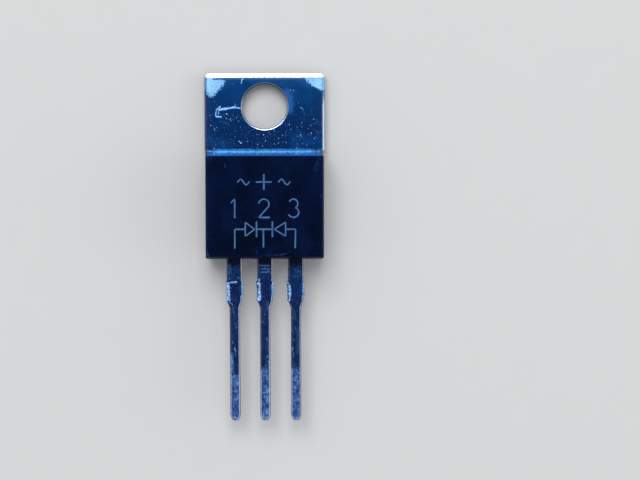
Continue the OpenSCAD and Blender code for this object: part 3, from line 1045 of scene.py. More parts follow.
@dataclass(frozen=True)
class MouldingCompound(Finish):
    """Fine matt epoxy, almost black, with a glossy drafted wall over the tab that takes a painted
    reflection, faint scuffs, and painted highlights along the edges of the front.
    """

    specular: float = 0.1
    relief: float = 0.012
    deep: Colour = shade(1, 2, 14)
    upper: Colour = shade(1, 5, 27)
    grain_tint: Colour = shade(7, 15, 46)
    cloud_tint: Colour = shade(7, 20, 58)
    scuff_and_edge_highlight: Colour = shade(34, 66, 126)
    parting: Colour = shade(24, 34, 62)
    wall: Colour = shade(27, 72, 112)
    cool_reflection: Colour = (0.15, 0.38, 1.0, 1.0)
    wall_roughness: float = 0.18
    wall_ior: float = 1.7
    front_y: float = -4.04
    end_y: float = -12.6
    front_z: float = 4.5
    parting_z: float = 2.65

    def scuffs(self, coat: Coat) -> Socket:
        """Finds the scuffs on the front, and a painted highlight on its lower left corner.

        Args:
            coat: The coat.

        Returns:
            The mask.
        """
        fine = coat.use(RAGGED, reach=0.2, scale=5.0)
        strong = [
            # Painted highlight on the lower left corner.
            Patch((-4.8, -11.8), (-4.62, -12.3), 0.0, 0.13),
            Patch((-3.24, -4.65), (-3.24, -5.0), 0.0, 0.06),
            Patch((4.6, -7.25), (4.62, -7.4), 0.0, 0.08),
            *chain([(-0.35, -9.08), (-0.1, -9.2), (0.36, -9.14)], 0.0, 0.08),
            Patch((-0.68, -11.76), (-0.6, -12.04), 0.0, 0.07),
            *chain([(0.75, -12.2), (1.2, -12.19), (1.65, -12.1)], 0.0, 0.09),
        ]
        faint = [
            Patch((-0.3, -12.16), (0.75, -12.2), 0.0, 0.08),
            Patch((1.7, -12.08), (2.1, -11.88), 0.0, 0.07),
            Patch((4.3, -4.7), (4.2, -5.2), 0.0, 0.28),
        ]
        return coat.either(coat.patches(strong, fine), coat.both(coat.patches(faint, fine), 0.4))

    def rim(self, coat: Coat, x: Socket, y: Socket) -> Socket:
        """Finds the edges of the front that catch the light, as painted highlights: the bottom
        edge, both sides and the upper corners.

        Args:
            coat: The coat.
            x: The place across the body.
            y: The place along it.

        Returns:
            The mask.
        """
        upper_corners = coat.step(coat.math("ABSOLUTE", x), 3.9, 4.7)
        return coat.either(
            coat.step(y, self.end_y + 0.34, self.end_y + 0.2),
            coat.both(coat.step(x, -4.6, -4.78), 0.5),
            coat.both(coat.step(x, 4.6, 4.78), 0.5),
            coat.both(upper_corners, coat.step(y, -4.8, -4.15), 0.55),
        )

    def paint(self, coat: Coat) -> tuple[Socket, Socket]:
        """Lays the finish's nodes.

        Args:
            coat: The coat, which takes the colour.

        Returns:
            The roughness and the height.
        """
        x, y, z = map(coat.at, AXES)
        coat.colour = self.deep
        coat.lay(self.upper, coat.step(y, -9.5, -4.2))
        grain = coat.use(MOTTLE, scale=9.0, contrast=0.8)
        coat.lay(self.grain_tint, grain, 0.3)
        coat.lay(self.cloud_tint, coat.use(MOTTLE, scale=0.5, contrast=0.35), 0.55)
        coat.lay(self.scuff_and_edge_highlight, coat.use(FLECKS, scale=6.0, radius=0.4, share=0.5), 0.22)
        broken = coat.use(MOTTLE, coat.stretched(1.0, 0.5), scale=4.5, contrast=0.3)
        front = coat.step(z, self.front_z - 0.06, self.front_z - 0.02)
        coat.lay(self.scuff_and_edge_highlight, self.scuffs(coat), front, coat.blend(broken, 0.15, 0.8))
        # Painted highlights along the front's edges.
        coat.lay(self.scuff_and_edge_highlight, self.rim(coat, x, y), front, coat.blend(broken, 0.15, 0.45))
        over_tab = coat.step(y, self.front_y - 0.06, self.front_y)
        # Painted reflected light on the drafted wall over the tab, stronger towards the top.
        coat.lay(self.wall, coat.both(over_tab, coat.step(z, 1.6, 4.2)), 0.9)
        off_parting = coat.math("ABSOLUTE", coat.math("SUBTRACT", z, self.parting_z))
        seam = coat.step(off_parting, 0.045, 0.015)
        coat.lay(self.parting, seam, 0.5)
        pores = coat.use(FLECKS, scale=11.0, radius=0.45, share=0.5)
        height = coat.math("SUBTRACT", coat.both(grain, 0.7), pores)
        return coat.blend(grain, 0.5, 0.62), coat.math("ADD", height, coat.both(seam, 0.6))

    def gloss(self, coat: Coat, shader: bpy.types.Node) -> None:
        """Polishes the drafted wall over the tab and gives the rest its cool, low reflection.

        Args:
            coat: The coat.
            shader: The material's shader.
        """
        y, z = coat.at(Y), coat.at(Z)
        over_tab = coat.step(y, self.front_y - 0.1, self.front_y + 0.02)
        wall = coat.both(over_tab, coat.step(z, self.front_z, 4.35))
        foot = coat.blend(coat.step(z, 1.4, 2.4), 0.7, 1.0)
        coat.feed(shader.inputs["Coat Weight"], coat.both(wall, foot))
        shader.inputs["Coat Roughness"].default_value = self.wall_roughness
        shader.inputs["Coat IOR"].default_value = self.wall_ior
        shader.inputs["Specular Tint"].default_value = self.cool_reflection


@dataclass(frozen=True)
class LaserMark(Finish):
    """Epoxy that a laser has bleached, in a line of overlapping spots."""

    pale: Colour = shade(82, 126, 174)
    thin: Colour = shade(44, 80, 130)

    def paint(self, coat: Coat) -> tuple[Socket, Socket]:
        """Lays the finish's nodes.

        Args:
            coat: The coat, which takes the colour.

        Returns:
            The roughness and the height.
        """
        grain = coat.use(MOTTLE, scale=7.0, contrast=0.7)
        burn = coat.use(MOTTLE, scale=2.2, contrast=0.4)
        coat.colour = self.thin
        coat.lay(self.pale, coat.math("ADD", coat.both(grain, 0.5), coat.both(burn, 0.5)))
        return coat.blend(grain, 0.6, 0.75), grain


@dataclass(frozen=True)
class DullMetal(Finish):
    """A plain metal inside the moulding, with cloudy grain and pits."""

    dark: Colour = shade(140, 141, 145)
    light: Colour = shade(196, 197, 200)
    rough: float = 0.4

    def paint(self, coat: Coat) -> tuple[Socket, Socket]:
        """Lays the finish's nodes.

        Args:
            coat: The coat, which takes the colour.

        Returns:
            The roughness and the height.
        """
        grain = coat.use(MOTTLE, scale=6.0, contrast=0.7)
        pits = coat.use(FLECKS, scale=8.0, radius=0.4, share=0.3)
        coat.colour = self.dark
        coat.lay(self.light, coat.math("SUBTRACT", grain, coat.both(pits, 0.5)))
        return coat.blend(grain, self.rough, self.rough + 0.15), grain


@dataclass(frozen=True)
class PaleFloor(Finish):
    """A plain pale studio floor with the faintest grain."""

    light: Colour = shade(214, 214, 213)
    grey: Colour = shade(206, 206, 205)

    def paint(self, coat: Coat) -> tuple[Socket, Socket]:
        """Lays the finish's nodes.

        Args:
            coat: The coat, which takes the colour.

        Returns:
            The roughness and the height.
        """
        grain = coat.use(MOTTLE, scale=0.35, contrast=1.0)
        coat.colour = self.light
        coat.lay(self.grey, grain, 0.15)
        return coat.blend(grain, 0.75, 0.85), grain


TAB_PLATING = TabPlating("tab_plating")
LEFT_PLATING = LeadPlating(
    "left_lead_plating", centre=-2.54, wear_y=-22.2, wear_slope=-0.3, worn_left=True
)
CENTRE_PLATING = LeadPlating("centre_lead_plating", wear_slope=0.5)
RIGHT_PLATING = LeadPlating("right_lead_plating", centre=2.54, bright_edge=False)
MOULDING = MouldingCompound("moulding_compound")
LASER_MARK = LaserMark("laser_mark", specular=0.1, bump=0.4)
INNER_TIN = DullMetal("inner_tin", metallic=0.85, rough=0.32)
SOLDER = DullMetal("solder_film", metallic=0.8)
SILICON = DullMetal(
    "chip_metal", metallic=0.6, dark=shade(92, 94, 104), light=shade(150, 152, 160), rough=0.25
)
DRAWN_WIRE = DullMetal("drawn_wire", metallic=0.9, light=shade(226, 227, 230), rough=0.3)
PALE_FLOOR = PaleFloor("pale_floor", specular=0.2, bump=0.05)


# Mesh helpers


def finish_piece(
    bm: BMesh,
    name: str,
    finish: Finish,
    replaced: Sequence[str] = (),
    sharp_angle: float = 32.0,
) -> None:
    """Turns a shape in millimetres into a finished piece that rides on the part.

    Args:
        bm: The shape. It is freed.
        name: Name of the piece.
        finish: Its finish.
        replaced: CAD nodes that it stands for.
        sharp_angle: Angle in degrees above which an edge stays sharp.
    """
    bmesh.ops.scale(bm, vec=(MM, MM, MM), verts=bm.verts)
    mesh = bpy.data.meshes.new(name)
    bm.to_mesh(mesh)
    bm.free()
    mesh.shade_smooth()
    mesh.set_sharp_from_angle(angle=math.radians(sharp_angle))
    mesh.materials.append(finish.material())
    piece = bpy.data.objects.new(name, mesh)
    bpy.context.scene.collection.objects.link(piece)
    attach(piece, BODY)
    if replaced:
        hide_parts(*replaced)
    log.info("%s: %d faces", name, len(mesh.polygons))


def dress_node(node: str, finish: Finish) -> None:
    """Gives a CAD node that keeps its own shape a better finish.

    Args:
        node: Name of the node.
        finish: The finish.
    """
    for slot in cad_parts[node].material_slots:
        slot.material = finish.material()
    log.info("%s: dressed as %s", node, finish.name)


def node_shape(node: str) -> BMesh:
    """Copies a CAD node's mesh in millimetres and joins its loose triangles.

    Args:
        node: Name of the node.

    Returns:
        The shape.
    """
    bm = bmesh.new()
    bm.from_mesh(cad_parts[node].data)
    bmesh.ops.scale(bm, vec=(1 / MM, 1 / MM, 1 / MM), verts=bm.verts)
    bmesh.ops.remove_doubles(bm, verts=bm.verts, dist=SAME_POINT)
    return bm


def cut_beyond(bm: BMesh, y: float, side: int) -> None:
    """Cuts off all that lies beyond a station and closes the cut with one face.

    Args:
        bm: The shape, which is closed.
        y: The station.
        side: 1 to cut off what lies on its +Y side, -1 for its -Y side.
    """
    bmesh.ops.bisect_plane(
        bm,
        geom=bm.verts[:] + bm.edges[:] + bm.faces[:],
        dist=SAME_POINT,
        plane_co=(0.0, y, 0.0),
        plane_no=(0.0, side, 0.0),
        clear_outer=True,
    )
    in_cut = [f for f in bm.faces if all(abs(v.co.y - y) < 2 * SAME_POINT for v in f.verts)]
    bmesh.ops.delete(bm, geom=in_cut, context="FACES")
    rim = [edge for edge in bm.edges if edge.is_boundary]
    bmesh.ops.holes_fill(bm, edges=rim, sides=0)
    bmesh.ops.dissolve_degenerate(bm, dist=SAME_POINT, edges=bm.edges)


def grown_verts(grown: Iterable[object]) -> list[BMVert]:
    """The vertices among what an extrusion has made."""
    return [item for item in grown if isinstance(item, BMVert)]


def rolled_drop(radius: float, inside: float) -> float:
    """How far a rolled edge lies below the flat, a short way inside of it."""
    return radius - math.sqrt(radius**2 - (radius - inside) ** 2)


# Heat sink


@dataclass
class HeatSink:
    """The tab with its hole, and the die pad behind it."""

    node: str = "heat_sink_and_cathode_lead"
    width: float = 10.0
    thickness: float = 1.27
    end_y: float = 2.75
    contact_y: float = -3.7
    pad_end_y: float = -12.4
    hole_r: float = 1.85
    hole_bevel: float = 0.12
    corner_r: float = 0.3
    side_roll: float = 0.25
    end_roll: float = 0.38
    end_drop: float = 0.085
    lip: float = 0.03
    lip_share: float = 0.7
    back_bevel: float = 0.05
    corner_droop: float = 0.09
    droop_reach: float = 1.9
    segments: int = 288
    bevel_degrees: tuple[float, ...] = (0, 30, 60, 90)
    flat_shares: tuple[float, ...] = (0.04, 0.12, 0.25, 0.4, 0.55, 0.7, 0.82, 0.92, 1.0)
    roll_degrees: tuple[float, ...] = (15, 30, 45, 60, 75, 90)
    back_shares: tuple[float, ...] = (0.0, 0.35, 0.7, 1.0)
    directions: list[Vector] = field(init=False)

    def __post_init__(self) -> None:
        """Sets the directions round the hole, with one through each corner of the tab."""
        self.directions = []
        for i in range(self.segments):
            angle = FULL_TURN * i / self.segments
            self.directions.append(Vector((math.cos(angle), math.sin(angle))))
        for x in (-self.width / 2, self.width / 2):
            for y in (self.end_y, self.contact_y):
                self.directions[self.nearest(x, y)] = Vector((x, y)).normalized()

    def nearest(self, x: float, y: float) -> int:
        """Which of the directions round the hole passes nearest to a point."""
        return round(math.atan2(y, x) % FULL_TURN / FULL_TURN * self.segments) % self.segments

    def outline(self, index: int, side_inset: float, end_inset: float) -> Point:
        """A point of the tab's outline, seen from the hole.

        Args:
            index: Which of the directions round the hole.
            side_inset: How far the outline is drawn in at the sides.
            end_inset: How far it is drawn in at the free end.

        Returns:
            The point.
        """
        half, top, bottom = self.width / 2 - side_inset, self.end_y - end_inset, self.contact_y
        way = self.directions[index]
        reach = min(
            half / abs(way.x) if abs(way.x) > NO_LENGTH else math.inf,
            (top if way.y > 0 else -bottom) / abs(way.y) if abs(way.y) > NO_LENGTH else math.inf,
        )
        x, y = way.x * reach, way.y * reach
        centre_x, centre_y = half - self.corner_r, top - self.corner_r
        if abs(x) > centre_x and y > centre_y:
            spoke = Vector((abs(x) - centre_x, y - centre_y)).normalized() * self.corner_r
            x, y = math.copysign(centre_x + spoke.x, x), centre_y + spoke.y
        return x, y

    def droop(self, x: float, y: float) -> float:
        """How far a pressed corner hangs below the flat at a point."""
        away = math.hypot(self.width / 2 - abs(x), self.end_y - y)
        return self.corner_droop * smooth_step(self.droop_reach, 0.0, away)

    def on_front(self, point: Point, below: float = 0.0) -> Vector:
        """Lifts a point to the front, with the rolled sides and the sloping free end.

        Args:
            point: The point, seen from the front.
            below: How far it stays below the front.

        Returns:
            The point in space.
        """
        x, y = point
        to_side = min(max(self.width / 2 - abs(x), 0.0), self.side_roll)
        to_end = min(max(self.end_y - y, 0.0), self.end_roll)
        end_drop = self.end_drop * (1 - to_end / self.end_roll) ** 2
        z = self.thickness - self.droop(x, y) - rolled_drop(self.side_roll, to_side) - end_drop
        return Vector((x, y, z - below))

    def around(self, side_inset: float, end_inset: float) -> list[Vector]:
        """The tab's outline, drawn in at the sides and at the free end."""
        return [Vector(self.outline(i, side_inset, end_inset)) for i in range(self.segments)]

    def circle(self, radius: float) -> list[Vector]:
        """A circle round the hole's centre."""
        return [way * radius for way in self.directions]

    def bevel(self, degrees: float) -> Ring:
        """A ring of the hole's broken edge.

        Args:
            degrees: The turn round the bevel, from 0 at the hole's wall to 90 at the front.

        Returns:
            The ring.
        """
        turn = math.radians(degrees)
        out = self.hole_bevel * (1 - math.cos(turn))
        z = self.thickness - self.hole_bevel * (1 - math.sin(turn))
        return [Vector((*spot, z)) for spot in self.circle(self.hole_r + out)]

    def flat(self, share: float) -> Ring:
        """A ring on the flat.

        Args:
            share: How far it lies from the hole, 0, to the rolled edges, 1.

        Returns:
            The ring.
        """
        inner = self.circle(self.hole_r + self.hole_bevel)
        outer = self.around(self.side_roll, self.end_roll)
        return [self.on_front(a.lerp(b, share)) for a, b in zip(inner, outer)]

    def rolled(self, degrees: float) -> Ring:
        """A ring on the rolled edges.

        Args:
            degrees: The turn round the roll, from 0 at the flat to 90 at the outside.

        Returns:
            The ring.
        """
        still_in = 1 - math.sin(math.radians(degrees))
        end_inset = self.lip * self.lip_share
        end = (self.end_roll - end_inset) * still_in + end_inset
        return [self.on_front(spot) for spot in self.around(self.side_roll * still_in, end)]

    def back(self, share: float) -> Ring:
        """A ring on the back.

        Args:
            share: How far it lies from the outline, 0, to the hole, 1.

        Returns:
            The ring.
        """
        outer = self.around(self.back_bevel, self.back_bevel)
        inner = self.circle(self.hole_r + self.back_bevel)
        return [Vector((*a.lerp(b, share), 0.0)) for a, b in zip(outer, inner)]

    def rings(self) -> list[Ring]:
        """The rings, from the hole's wall over the front to the back.

        Returns:
            The rings in order, each with one point for each direction.
        """
        outside = self.around(0.0, 0.0)
        return [
            *map(self.bevel, self.bevel_degrees),
            *map(self.flat, self.flat_shares),
            *map(self.rolled, self.roll_degrees),
            [self.on_front(spot, self.lip) for spot in outside],
            [Vector((*spot, self.back_bevel)) for spot in outside],
            *map(self.back, self.back_shares),
            [Vector((*spot, self.back_bevel)) for spot in self.circle(self.hole_r)],
        ]

    def shape(self) -> BMesh:
        """Grows the tab ring by ring round its hole.

        Returns:
            The tab's shape.
        """
        rings = self.rings()
        bm = bmesh.new()
        bmesh.ops.create_circle(bm, cap_ends=False, segments=self.segments, radius=self.hole_r)
        index = bm.verts.layers.int.new("direction")
        for vert in bm.verts:
            vert[index] = self.nearest(vert.co.x, vert.co.y)
            vert.co = rings[0][vert[index]]
        first = ring = bm.edges[:]
        for places in rings[1:]:
            grown = bmesh.ops.extrude_edge_only(bm, edges=ring)["geom"]
            ring = [item for item in grown if isinstance(item, BMEdge)]
            for vert in grown_verts(grown):
                vert.co = places[vert[index]]
        bmesh.ops.bridge_loops(bm, edges=first + ring)
        bmesh.ops.remove_doubles(bm, verts=bm.verts, dist=SAME_POINT)
        bmesh.ops.recalc_face_normals(bm, faces=bm.faces)
        return bm

    def build(self) -> None:
        """Makes the tab, and the pad with the rise of the centre lead inside the moulding."""
        finish_piece(self.shape(), "tab", TAB_PLATING, [self.node])
        pad = node_shape(self.node)
        cut_beyond(pad, self.contact_y, 1)
        cut_beyond(pad, self.pad_end_y, -1)
        finish_piece(pad, "die_pad", TAB_PLATING, [self.node])


# Leads


class LeadPlace(Enum):
    """Which lead of the row, by the place of its centre line."""

    LEFT = -2.54
    CENTRE = 0.0
    RIGHT = 2.54


@dataclass
class FlatLead:
    """One stamped lead outside the moulding, with its tie-bar stubs and cut tip."""

    place: LeadPlace
    node: str
    finish: LeadPlating
    seed: float = 0.0
    drift: float = 0.0
    left_stub: float = 0.05
    right_stub: float = 0.1
    start_y: float = -12.4
    stub_top_y: float = -14.42
    stub_end_y: float = -15.6
    burr_end_y: float = -16.05
    taper_y: float = -16.05
    thin_y: float = -16.6
    tip_y: float = -26.0
    tip_length: float = 0.5
    root_half: float = 0.635
    thin_half: float = 0.4
    right_more: float = 0.045
    tip_half: float = 0.2
    tip_bow: float = 1.3
    tip_drop: float = 0.09
    tip_drop_length: float = 0.3
    torn_depth: float = 0.05
    chip_depth: float = 0.02
    sag_depth: float = 0.035
    sag_torn: float = 0.03
    left_sag_width: float = 0.34
    right_sag_width: float = 0.14
    back_z: float = 2.4
    back_bevel: float = 0.02
    least_corner: float = 1.0
    thickness: float = 0.5
    roll: float = 0.07
    columns: tuple[float, ...] = (0.0, 0.015, 0.04, 0.07, 0.11, 0.17, 0.26, 0.4)
    root_row: float = 0.2
    stub_row: float = 0.035
    thin_row: float = 0.14
    tip_row: float = 0.045

    def reach(self, y: float, side: int) -> float:
        """How far the lead reaches from its centre line at a station.

        Args:
            y: The station.
            side: -1 for its left edge or 1 for its right edge.

        Returns:
            The distance.
        """
        thin = self.thin_half + (self.right_more if side > 0 else 0.0)
        if y > self.taper_y:
            reach = self.root_half
        elif y > self.thin_y:
            share = (self.taper_y - y) / (self.taper_y - self.thin_y)
            reach = self.root_half + (thin - self.root_half) * share
        else:
            share = max(0.0, 1 - (y - self.tip_y) / self.tip_length)
            reach = thin + (self.tip_half - self.thin_half) * share**self.tip_bow
        return reach + self.stub(y, side)

    def stub(self, y: float, side: int) -> float:
        """How far the torn stub of a tie bar stands out of an edge.

        Args:
            y: The station along the lead.
            side: -1 for its left edge or 1 for its right edge.

        Returns:
            The distance, below 0 where the edge is chipped.
        """
        out = self.left_stub if side < 0 else self.right_stub
        end = self.burr_end_y if side < 0 else self.stub_end_y
        top = self.stub_top_y
        along = smooth_step(end - 0.04, end + 0.06, y) * smooth_step(top + 0.02, top - 0.06, y)
        torn = noise.noise(Vector((self.seed + side, y * 7, 0.0))) * self.torn_depth
        slant = 0.25 + 0.75 * smooth_step(top - 0.7, top - 0.1, y) if side < 0 else 1.0
        nick = noise.noise(Vector((self.seed + side * 3, y * 3, 4.0)))
        off_tip = smooth_step(self.tip_y + 1, self.tip_y + 2, y)
        chipped = self.chip_depth * smooth_step(0.15, 0.5, nick) * off_tip
        return (out * slant + torn) * along - chipped

    def stations(self) -> list[float]:
        """The stations along the lead, close together where it was sheared.

        Returns:
            Their places, from the moulding to the tip.
        """
        marks = (
            (self.stub_top_y + 0.05, self.root_row),
            (self.thin_y, self.stub_row),
            (self.tip_y + self.tip_length, self.thin_row),
            (self.tip_y, self.tip_row),
        )
        rows = [self.start_y]
        for to_y, step in marks:
            start = rows[-1]
            count = math.ceil((start - to_y) / step)
            rows += [start + (to_y - start) * i / count for i in range(1, count + 1)]
        return rows

    def across(self, column: int, left: float, right: float) -> float:
        """Where a column of the grid lies across the lead, from its centre line.

        Args:
            column: The column, counted from the left edge.
            left: How far the lead reaches to the left at this station.
            right: How far it reaches to the right.

        Returns:
            The place, negative to the left.
        """
        middle = len(self.columns) - 1
        if column == middle:
            return (right - left) / 2
        on_left = column < middle
        half = left if on_left else right
        inset = self.columns[column if on_left else 2 * middle - column]
        inset *= min(1.0, half / self.thin_half)
        return -half + inset if on_left else half - inset

    def sag(self, x: float, y: float, inside: float) -> float:
        """How far the front lies below its flat: at the tip and over the sheared edges.

        Args:
            x: The place across the lead, from its centre line.
            y: The station along it.
            inside: The distance from the nearer edge.

        Returns:
            The depth.
        """
        at_tip = self.tip_drop * smooth_step(self.tip_drop_length, 0.0, y - self.tip_y)
        end = self.burr_end_y if x < 0 else self.stub_end_y
        top = self.stub_top_y
        along = smooth_step(end - 0.15, end + 0.2, y) * smooth_step(top + 0.1, top - 0.15, y)
        width = self.left_sag_width if x < 0 else self.right_sag_width
        torn = noise.noise(Vector((self.seed + x * 8, y * 8, 1.0)))
        depth = (self.sag_depth + self.sag_torn * torn) * along
        return at_tip + depth * smooth_step(width, width * 0.4, inside)

    def shape(self) -> BMesh:
        """Lays a grid over the front face, rolls its edges and gives it its thickness.

        Returns:
            The lead's shape.
        """
        rows = self.stations()
        last_column, last_row = 2 * (len(self.columns) - 1), len(rows) - 1
        bm = bmesh.new()
        bmesh.ops.create_grid(bm, x_segments=last_column, y_segments=last_row, size=1.0)
        from_left = bm.verts.layers.float.new("from_left")
        from_right = bm.verts.layers.float.new("from_right")
        top_z = self.back_z + self.thickness
        for vert in bm.verts:
            column = round((vert.co.x + 1) / 2 * last_column)
            y = rows[round((1 - vert.co.y) / 2 * last_row)]
            left, right = self.reach(y, -1), self.reach(y, 1)
            x = self.across(column, left, right)
            inside = min(left + x, right - x)
            drop = self.sag(x, y, inside)
            if inside < self.roll:
                drop += rolled_drop(self.roll, inside)
            sideways = self.drift * (self.start_y - y) / (self.start_y - self.tip_y)
            vert.co = (self.place.value + x + sideways, y, top_z - drop)
            vert[from_left], vert[from_right] = left + x, right - x
        for vert in grown_verts(bmesh.ops.extrude_face_region(bm, geom=bm.faces[:])["geom"]):
            vert.co.z = self.back_z
        bmesh.ops.recalc_face_normals(bm, faces=bm.faces)
        self.break_back_edges(bm)
        return bm

    def break_back_edges(self, bm: BMesh) -> None:
        """Takes the sharpness off the edges of the back face.

        Args:
            bm: The lead's shape.
        """
        edges = [
            e
            for e in bm.edges
            if all(abs(v.co.z - self.back_z) < NO_DEPTH for v in e.verts)
            and len(e.link_faces) == 2
            and e.calc_face_angle() > self.least_corner
        ]
        bmesh.ops.bevel(
            bm,
            geom=edges,
            offset=self.back_bevel,
            segments=2,
            profile=0.5,
            affect="EDGES",
            material=-1,
        )

    def build(self) -> None:
        """Makes the lead."""
        name = f"lead_{self.place.name.lower()}"
        finish_piece(self.shape(), name, self.finish, [self.node])


@dataclass
class BondPost:
    """The inner end of an outer lead, which the moulding hides."""

    side: str
    end_y: float = -12.4

    def build(self) -> None:
        """Makes the post from its CAD node, cut where the lead's own piece starts."""
        node = f"anode_lead_{self.side}"
        post = node_shape(node)
        cut_beyond(post, self.end_y, -1)
        finish_piece(post, f"bond_post_{self.side}", INNER_TIN, [node])


# Mark


@dataclass
class FrontMark:
    """The laser mark: the circuit of the two diodes, plain pin numbers and polarity signs.

    Each stroke is a list of points, and closed where the last point is the first one again.
    """

    face_z: float = 4.5
    proud: float = 0.004
    sunk: float = 0.003
    width: float = 0.11
    corner_reach: float = 0.09
    most_of_side: float = 0.45
    straight_degrees: float = 150.0
    corner_shares: tuple[float, ...] = (0.0, 0.25, 0.5, 0.75, 1.0)
    least_cosine: float = 0.35
    heavy_end: float = 1.2
    cap_degrees: tuple[float, ...] = (85.0, 60.0, 30.0)
    same_spot: float = 0.002
    arc_steps: int = 14

    def rounded(self, path: Sequence[Vector], closed: bool) -> list[Vector]:
        """Rounds the sharp corners of a stroke's centre line.

        Args:
            path: Its points, in order.
            closed: Whether the last point joins the first.

        Returns:
            The points with a short curve at each sharp corner.
        """
        count = len(path)
        result: list[Vector] = []
        for i, point in enumerate(path):
            before, after = path[i - 1], path[(i + 1) % count]
            to_before, to_after = before - point, after - point
            at_end = not closed and i in (0, count - 1)
            if at_end or to_before.angle(to_after) > math.radians(self.straight_degrees):
                result.append(point)
                continue
            shorter = min(to_before.length, to_after.length)
            reach = min(self.corner_reach, shorter * self.most_of_side)
            start = point + to_before.normalized() * reach
            end = point + to_after.normalized() * reach
            for share in self.corner_shares:
                result.append(start.lerp(point, share).lerp(point.lerp(end, share), share))
        return result

    def cap(self, row: Row, way: Vector) -> list[Row]:
        """The cross rows of a round cap beyond a stroke's last row, the outermost first."""
        half, turns = self.width / 2, map(math.radians, self.cap_degrees)
        return [(row[0] + way * half * math.sin(t), row[1] * math.cos(t)) for t in turns]

    def rows(self, path: Sequence[Vector], closed: bool) -> list[Row]:
        """The cross rows of a stroke, with a round cap at each open end.

        Args:
            path: The points of its centre line.
            closed: Whether the last point is the first one again.

        Returns:
            The middle of each row and the way from there to one of its edges.
        """
        half = self.width / 2
        ways = [(b - a).normalized() for a, b in zip(path, path[1:])]
        first, last = (-1, 0) if closed else (0, -1)
        around = [ways[first], *ways, ways[last]]
        rows: list[Row] = []
        for point, before, after in zip(path, around, around[1:]):
            mean = (before + after).normalized()
            spread = half / max(self.least_cosine, abs(mean.dot(before)))
            rows.append((point, Vector((-mean.y, mean.x)) * spread))
        if closed:
            return rows
        for end in (0, -1):
            rows[end] = (rows[end][0], rows[end][1] * self.heavy_end)
        return self.cap(rows[0], -ways[0]) + rows + self.cap(rows[-1], ways[-1])[::-1]

    def ribbon(self, points: Sequence[Point]) -> BMesh:
        """Runs a flat stroke along points.

        Args:
            points: The points of its centre line, in order.

        Returns:
            The stroke as a thin closed solid.
        """
        closed = points[0] == points[-1]
        path = self.rounded([Vector(p) for p in (points[:-1] if closed else points)], closed)
        rows = self.rows([*path, path[0]] if closed else path, closed)
        last_row = len(rows) - 1
        bm = bmesh.new()
        bmesh.ops.create_grid(bm, x_segments=1, y_segments=last_row, size=1.0)
        for vert in bm.verts:
            centre, offset = rows[round((1 - vert.co.y) / 2 * last_row)]
            spot = centre + offset * (1 if vert.co.x > 0 else -1)
            vert.co = (spot.x, spot.y, self.face_z + self.proud)
        if closed:
            bmesh.ops.remove_doubles(bm, verts=bm.verts, dist=self.same_spot)
        grown = bmesh.ops.extrude_face_region(bm, geom=bm.faces[:])["geom"]
        down = (0.0, 0.0, -self.proud - self.sunk)
        bmesh.ops.translate(bm, vec=down, verts=grown_verts(grown))
        bmesh.ops.recalc_face_normals(bm, faces=bm.faces)
        return bm

    def arc(self, centre: Point, radius: Point, start: float, end: float) -> list[Point]:
        """Points of an arc, from one angle in degrees to another.

        Args:
            centre: Its centre.
            radius: Its reach across and its reach up.
            start: The angle of its first point.
            end: The angle of its last point.

        Returns:
            The points.
        """
        steps = self.arc_steps
        turns = [math.radians(start + (end - start) * i / steps) for i in range(steps + 1)]
        return [
            (centre[0] + radius[0] * math.cos(t), centre[1] + radius[1] * math.sin(t))
            for t in turns
        ]

    def circuit(self) -> list[list[Point]]:
        """The symbol of two diodes that face each other, with a leg for each lead.

        Returns:
            Its strokes.
        """
        line, legs = -10.07, -11.6
        left, middle, right = -2.44, -0.1, 2.54
        top, bottom = -9.5, -10.64
        half = self.width / 2
        return [
            [(left, legs), (left, line), (-1.7, line)],
            [(-1.58, top), (-0.82, line), (-1.58, bottom), (-1.58, top)],
            [(-0.66, top + 0.02), (-0.66, bottom - 0.02)],
            [(-0.6 + half, line), (0.58 - half, line)],
            [(middle, line - self.width), (middle, legs + 0.08)],
            [(0.64, top + 0.02), (0.64, bottom - 0.02)],
            [(1.72, top), (0.8, line), (1.72, bottom), (1.72, top)],
            [(1.84, line), (right, line), (right - 0.04, legs + 0.02)],
        ]

    def numbers(self) -> list[list[Point]]:
        """The pin numbers 1, 2 and 3 over their legs.

        Returns:
            One stroke for each.
        """
        base, height = -9.1, 1.5
        top = base + height
        one_x, two_x, three_x = -2.44, -0.05, 2.42
        r = 0.42
        one = [(one_x - 0.28, top - 0.28), (one_x, top), (one_x, base)]
        two = self.arc((two_x, top - r), (r, r), 165, -28)
        two += [(two_x - r, base), (two_x + r + 0.02, base)]
        upper = self.arc((three_x - 0.05, top - 0.38), (0.36, 0.38), 150, -60)
        lower = self.arc((three_x - 0.05, base + 0.41), (0.43, 0.41), 62, -150)
        return [one, two, upper + lower]

    def signs(self) -> list[list[Point]]:
        """A wave over each outer lead and a plus over the centre one.

        Returns:
            Their strokes.
        """
        y, plus_x, wave_reach, wave_height = -6.2, -0.05, 0.46, 0.22
        waves = [
            [
                (x + wave_reach * (t / 8 - 1), y + wave_height * math.sin(math.pi * t / 8))
                for t in range(17)
            ]
            for x in (-1.72, 1.62)
        ]
        plus = [
            [(plus_x, y + 0.6), (plus_x, y - 0.6)],
            [(plus_x - 0.6, y), (plus_x - self.width, y)],
            [(plus_x + self.width, y), (plus_x + 0.6, y)],
        ]
        return waves + plus

    def build(self) -> None:
        """Makes every stroke of the mark as one piece."""
        mark = bmesh.new()
        scratch = bpy.data.meshes.new("stroke_scratch")
        for points in self.circuit() + self.numbers() + self.signs():
            stroke = self.ribbon(points)
            stroke.to_mesh(scratch)
            stroke.free()
            mark.from_mesh(scratch)
        bpy.data.meshes.remove(scratch)
        finish_piece(mark, "laser_mark", LASER_MARK, sharp_angle=60.0)


# Moulding and inner pieces


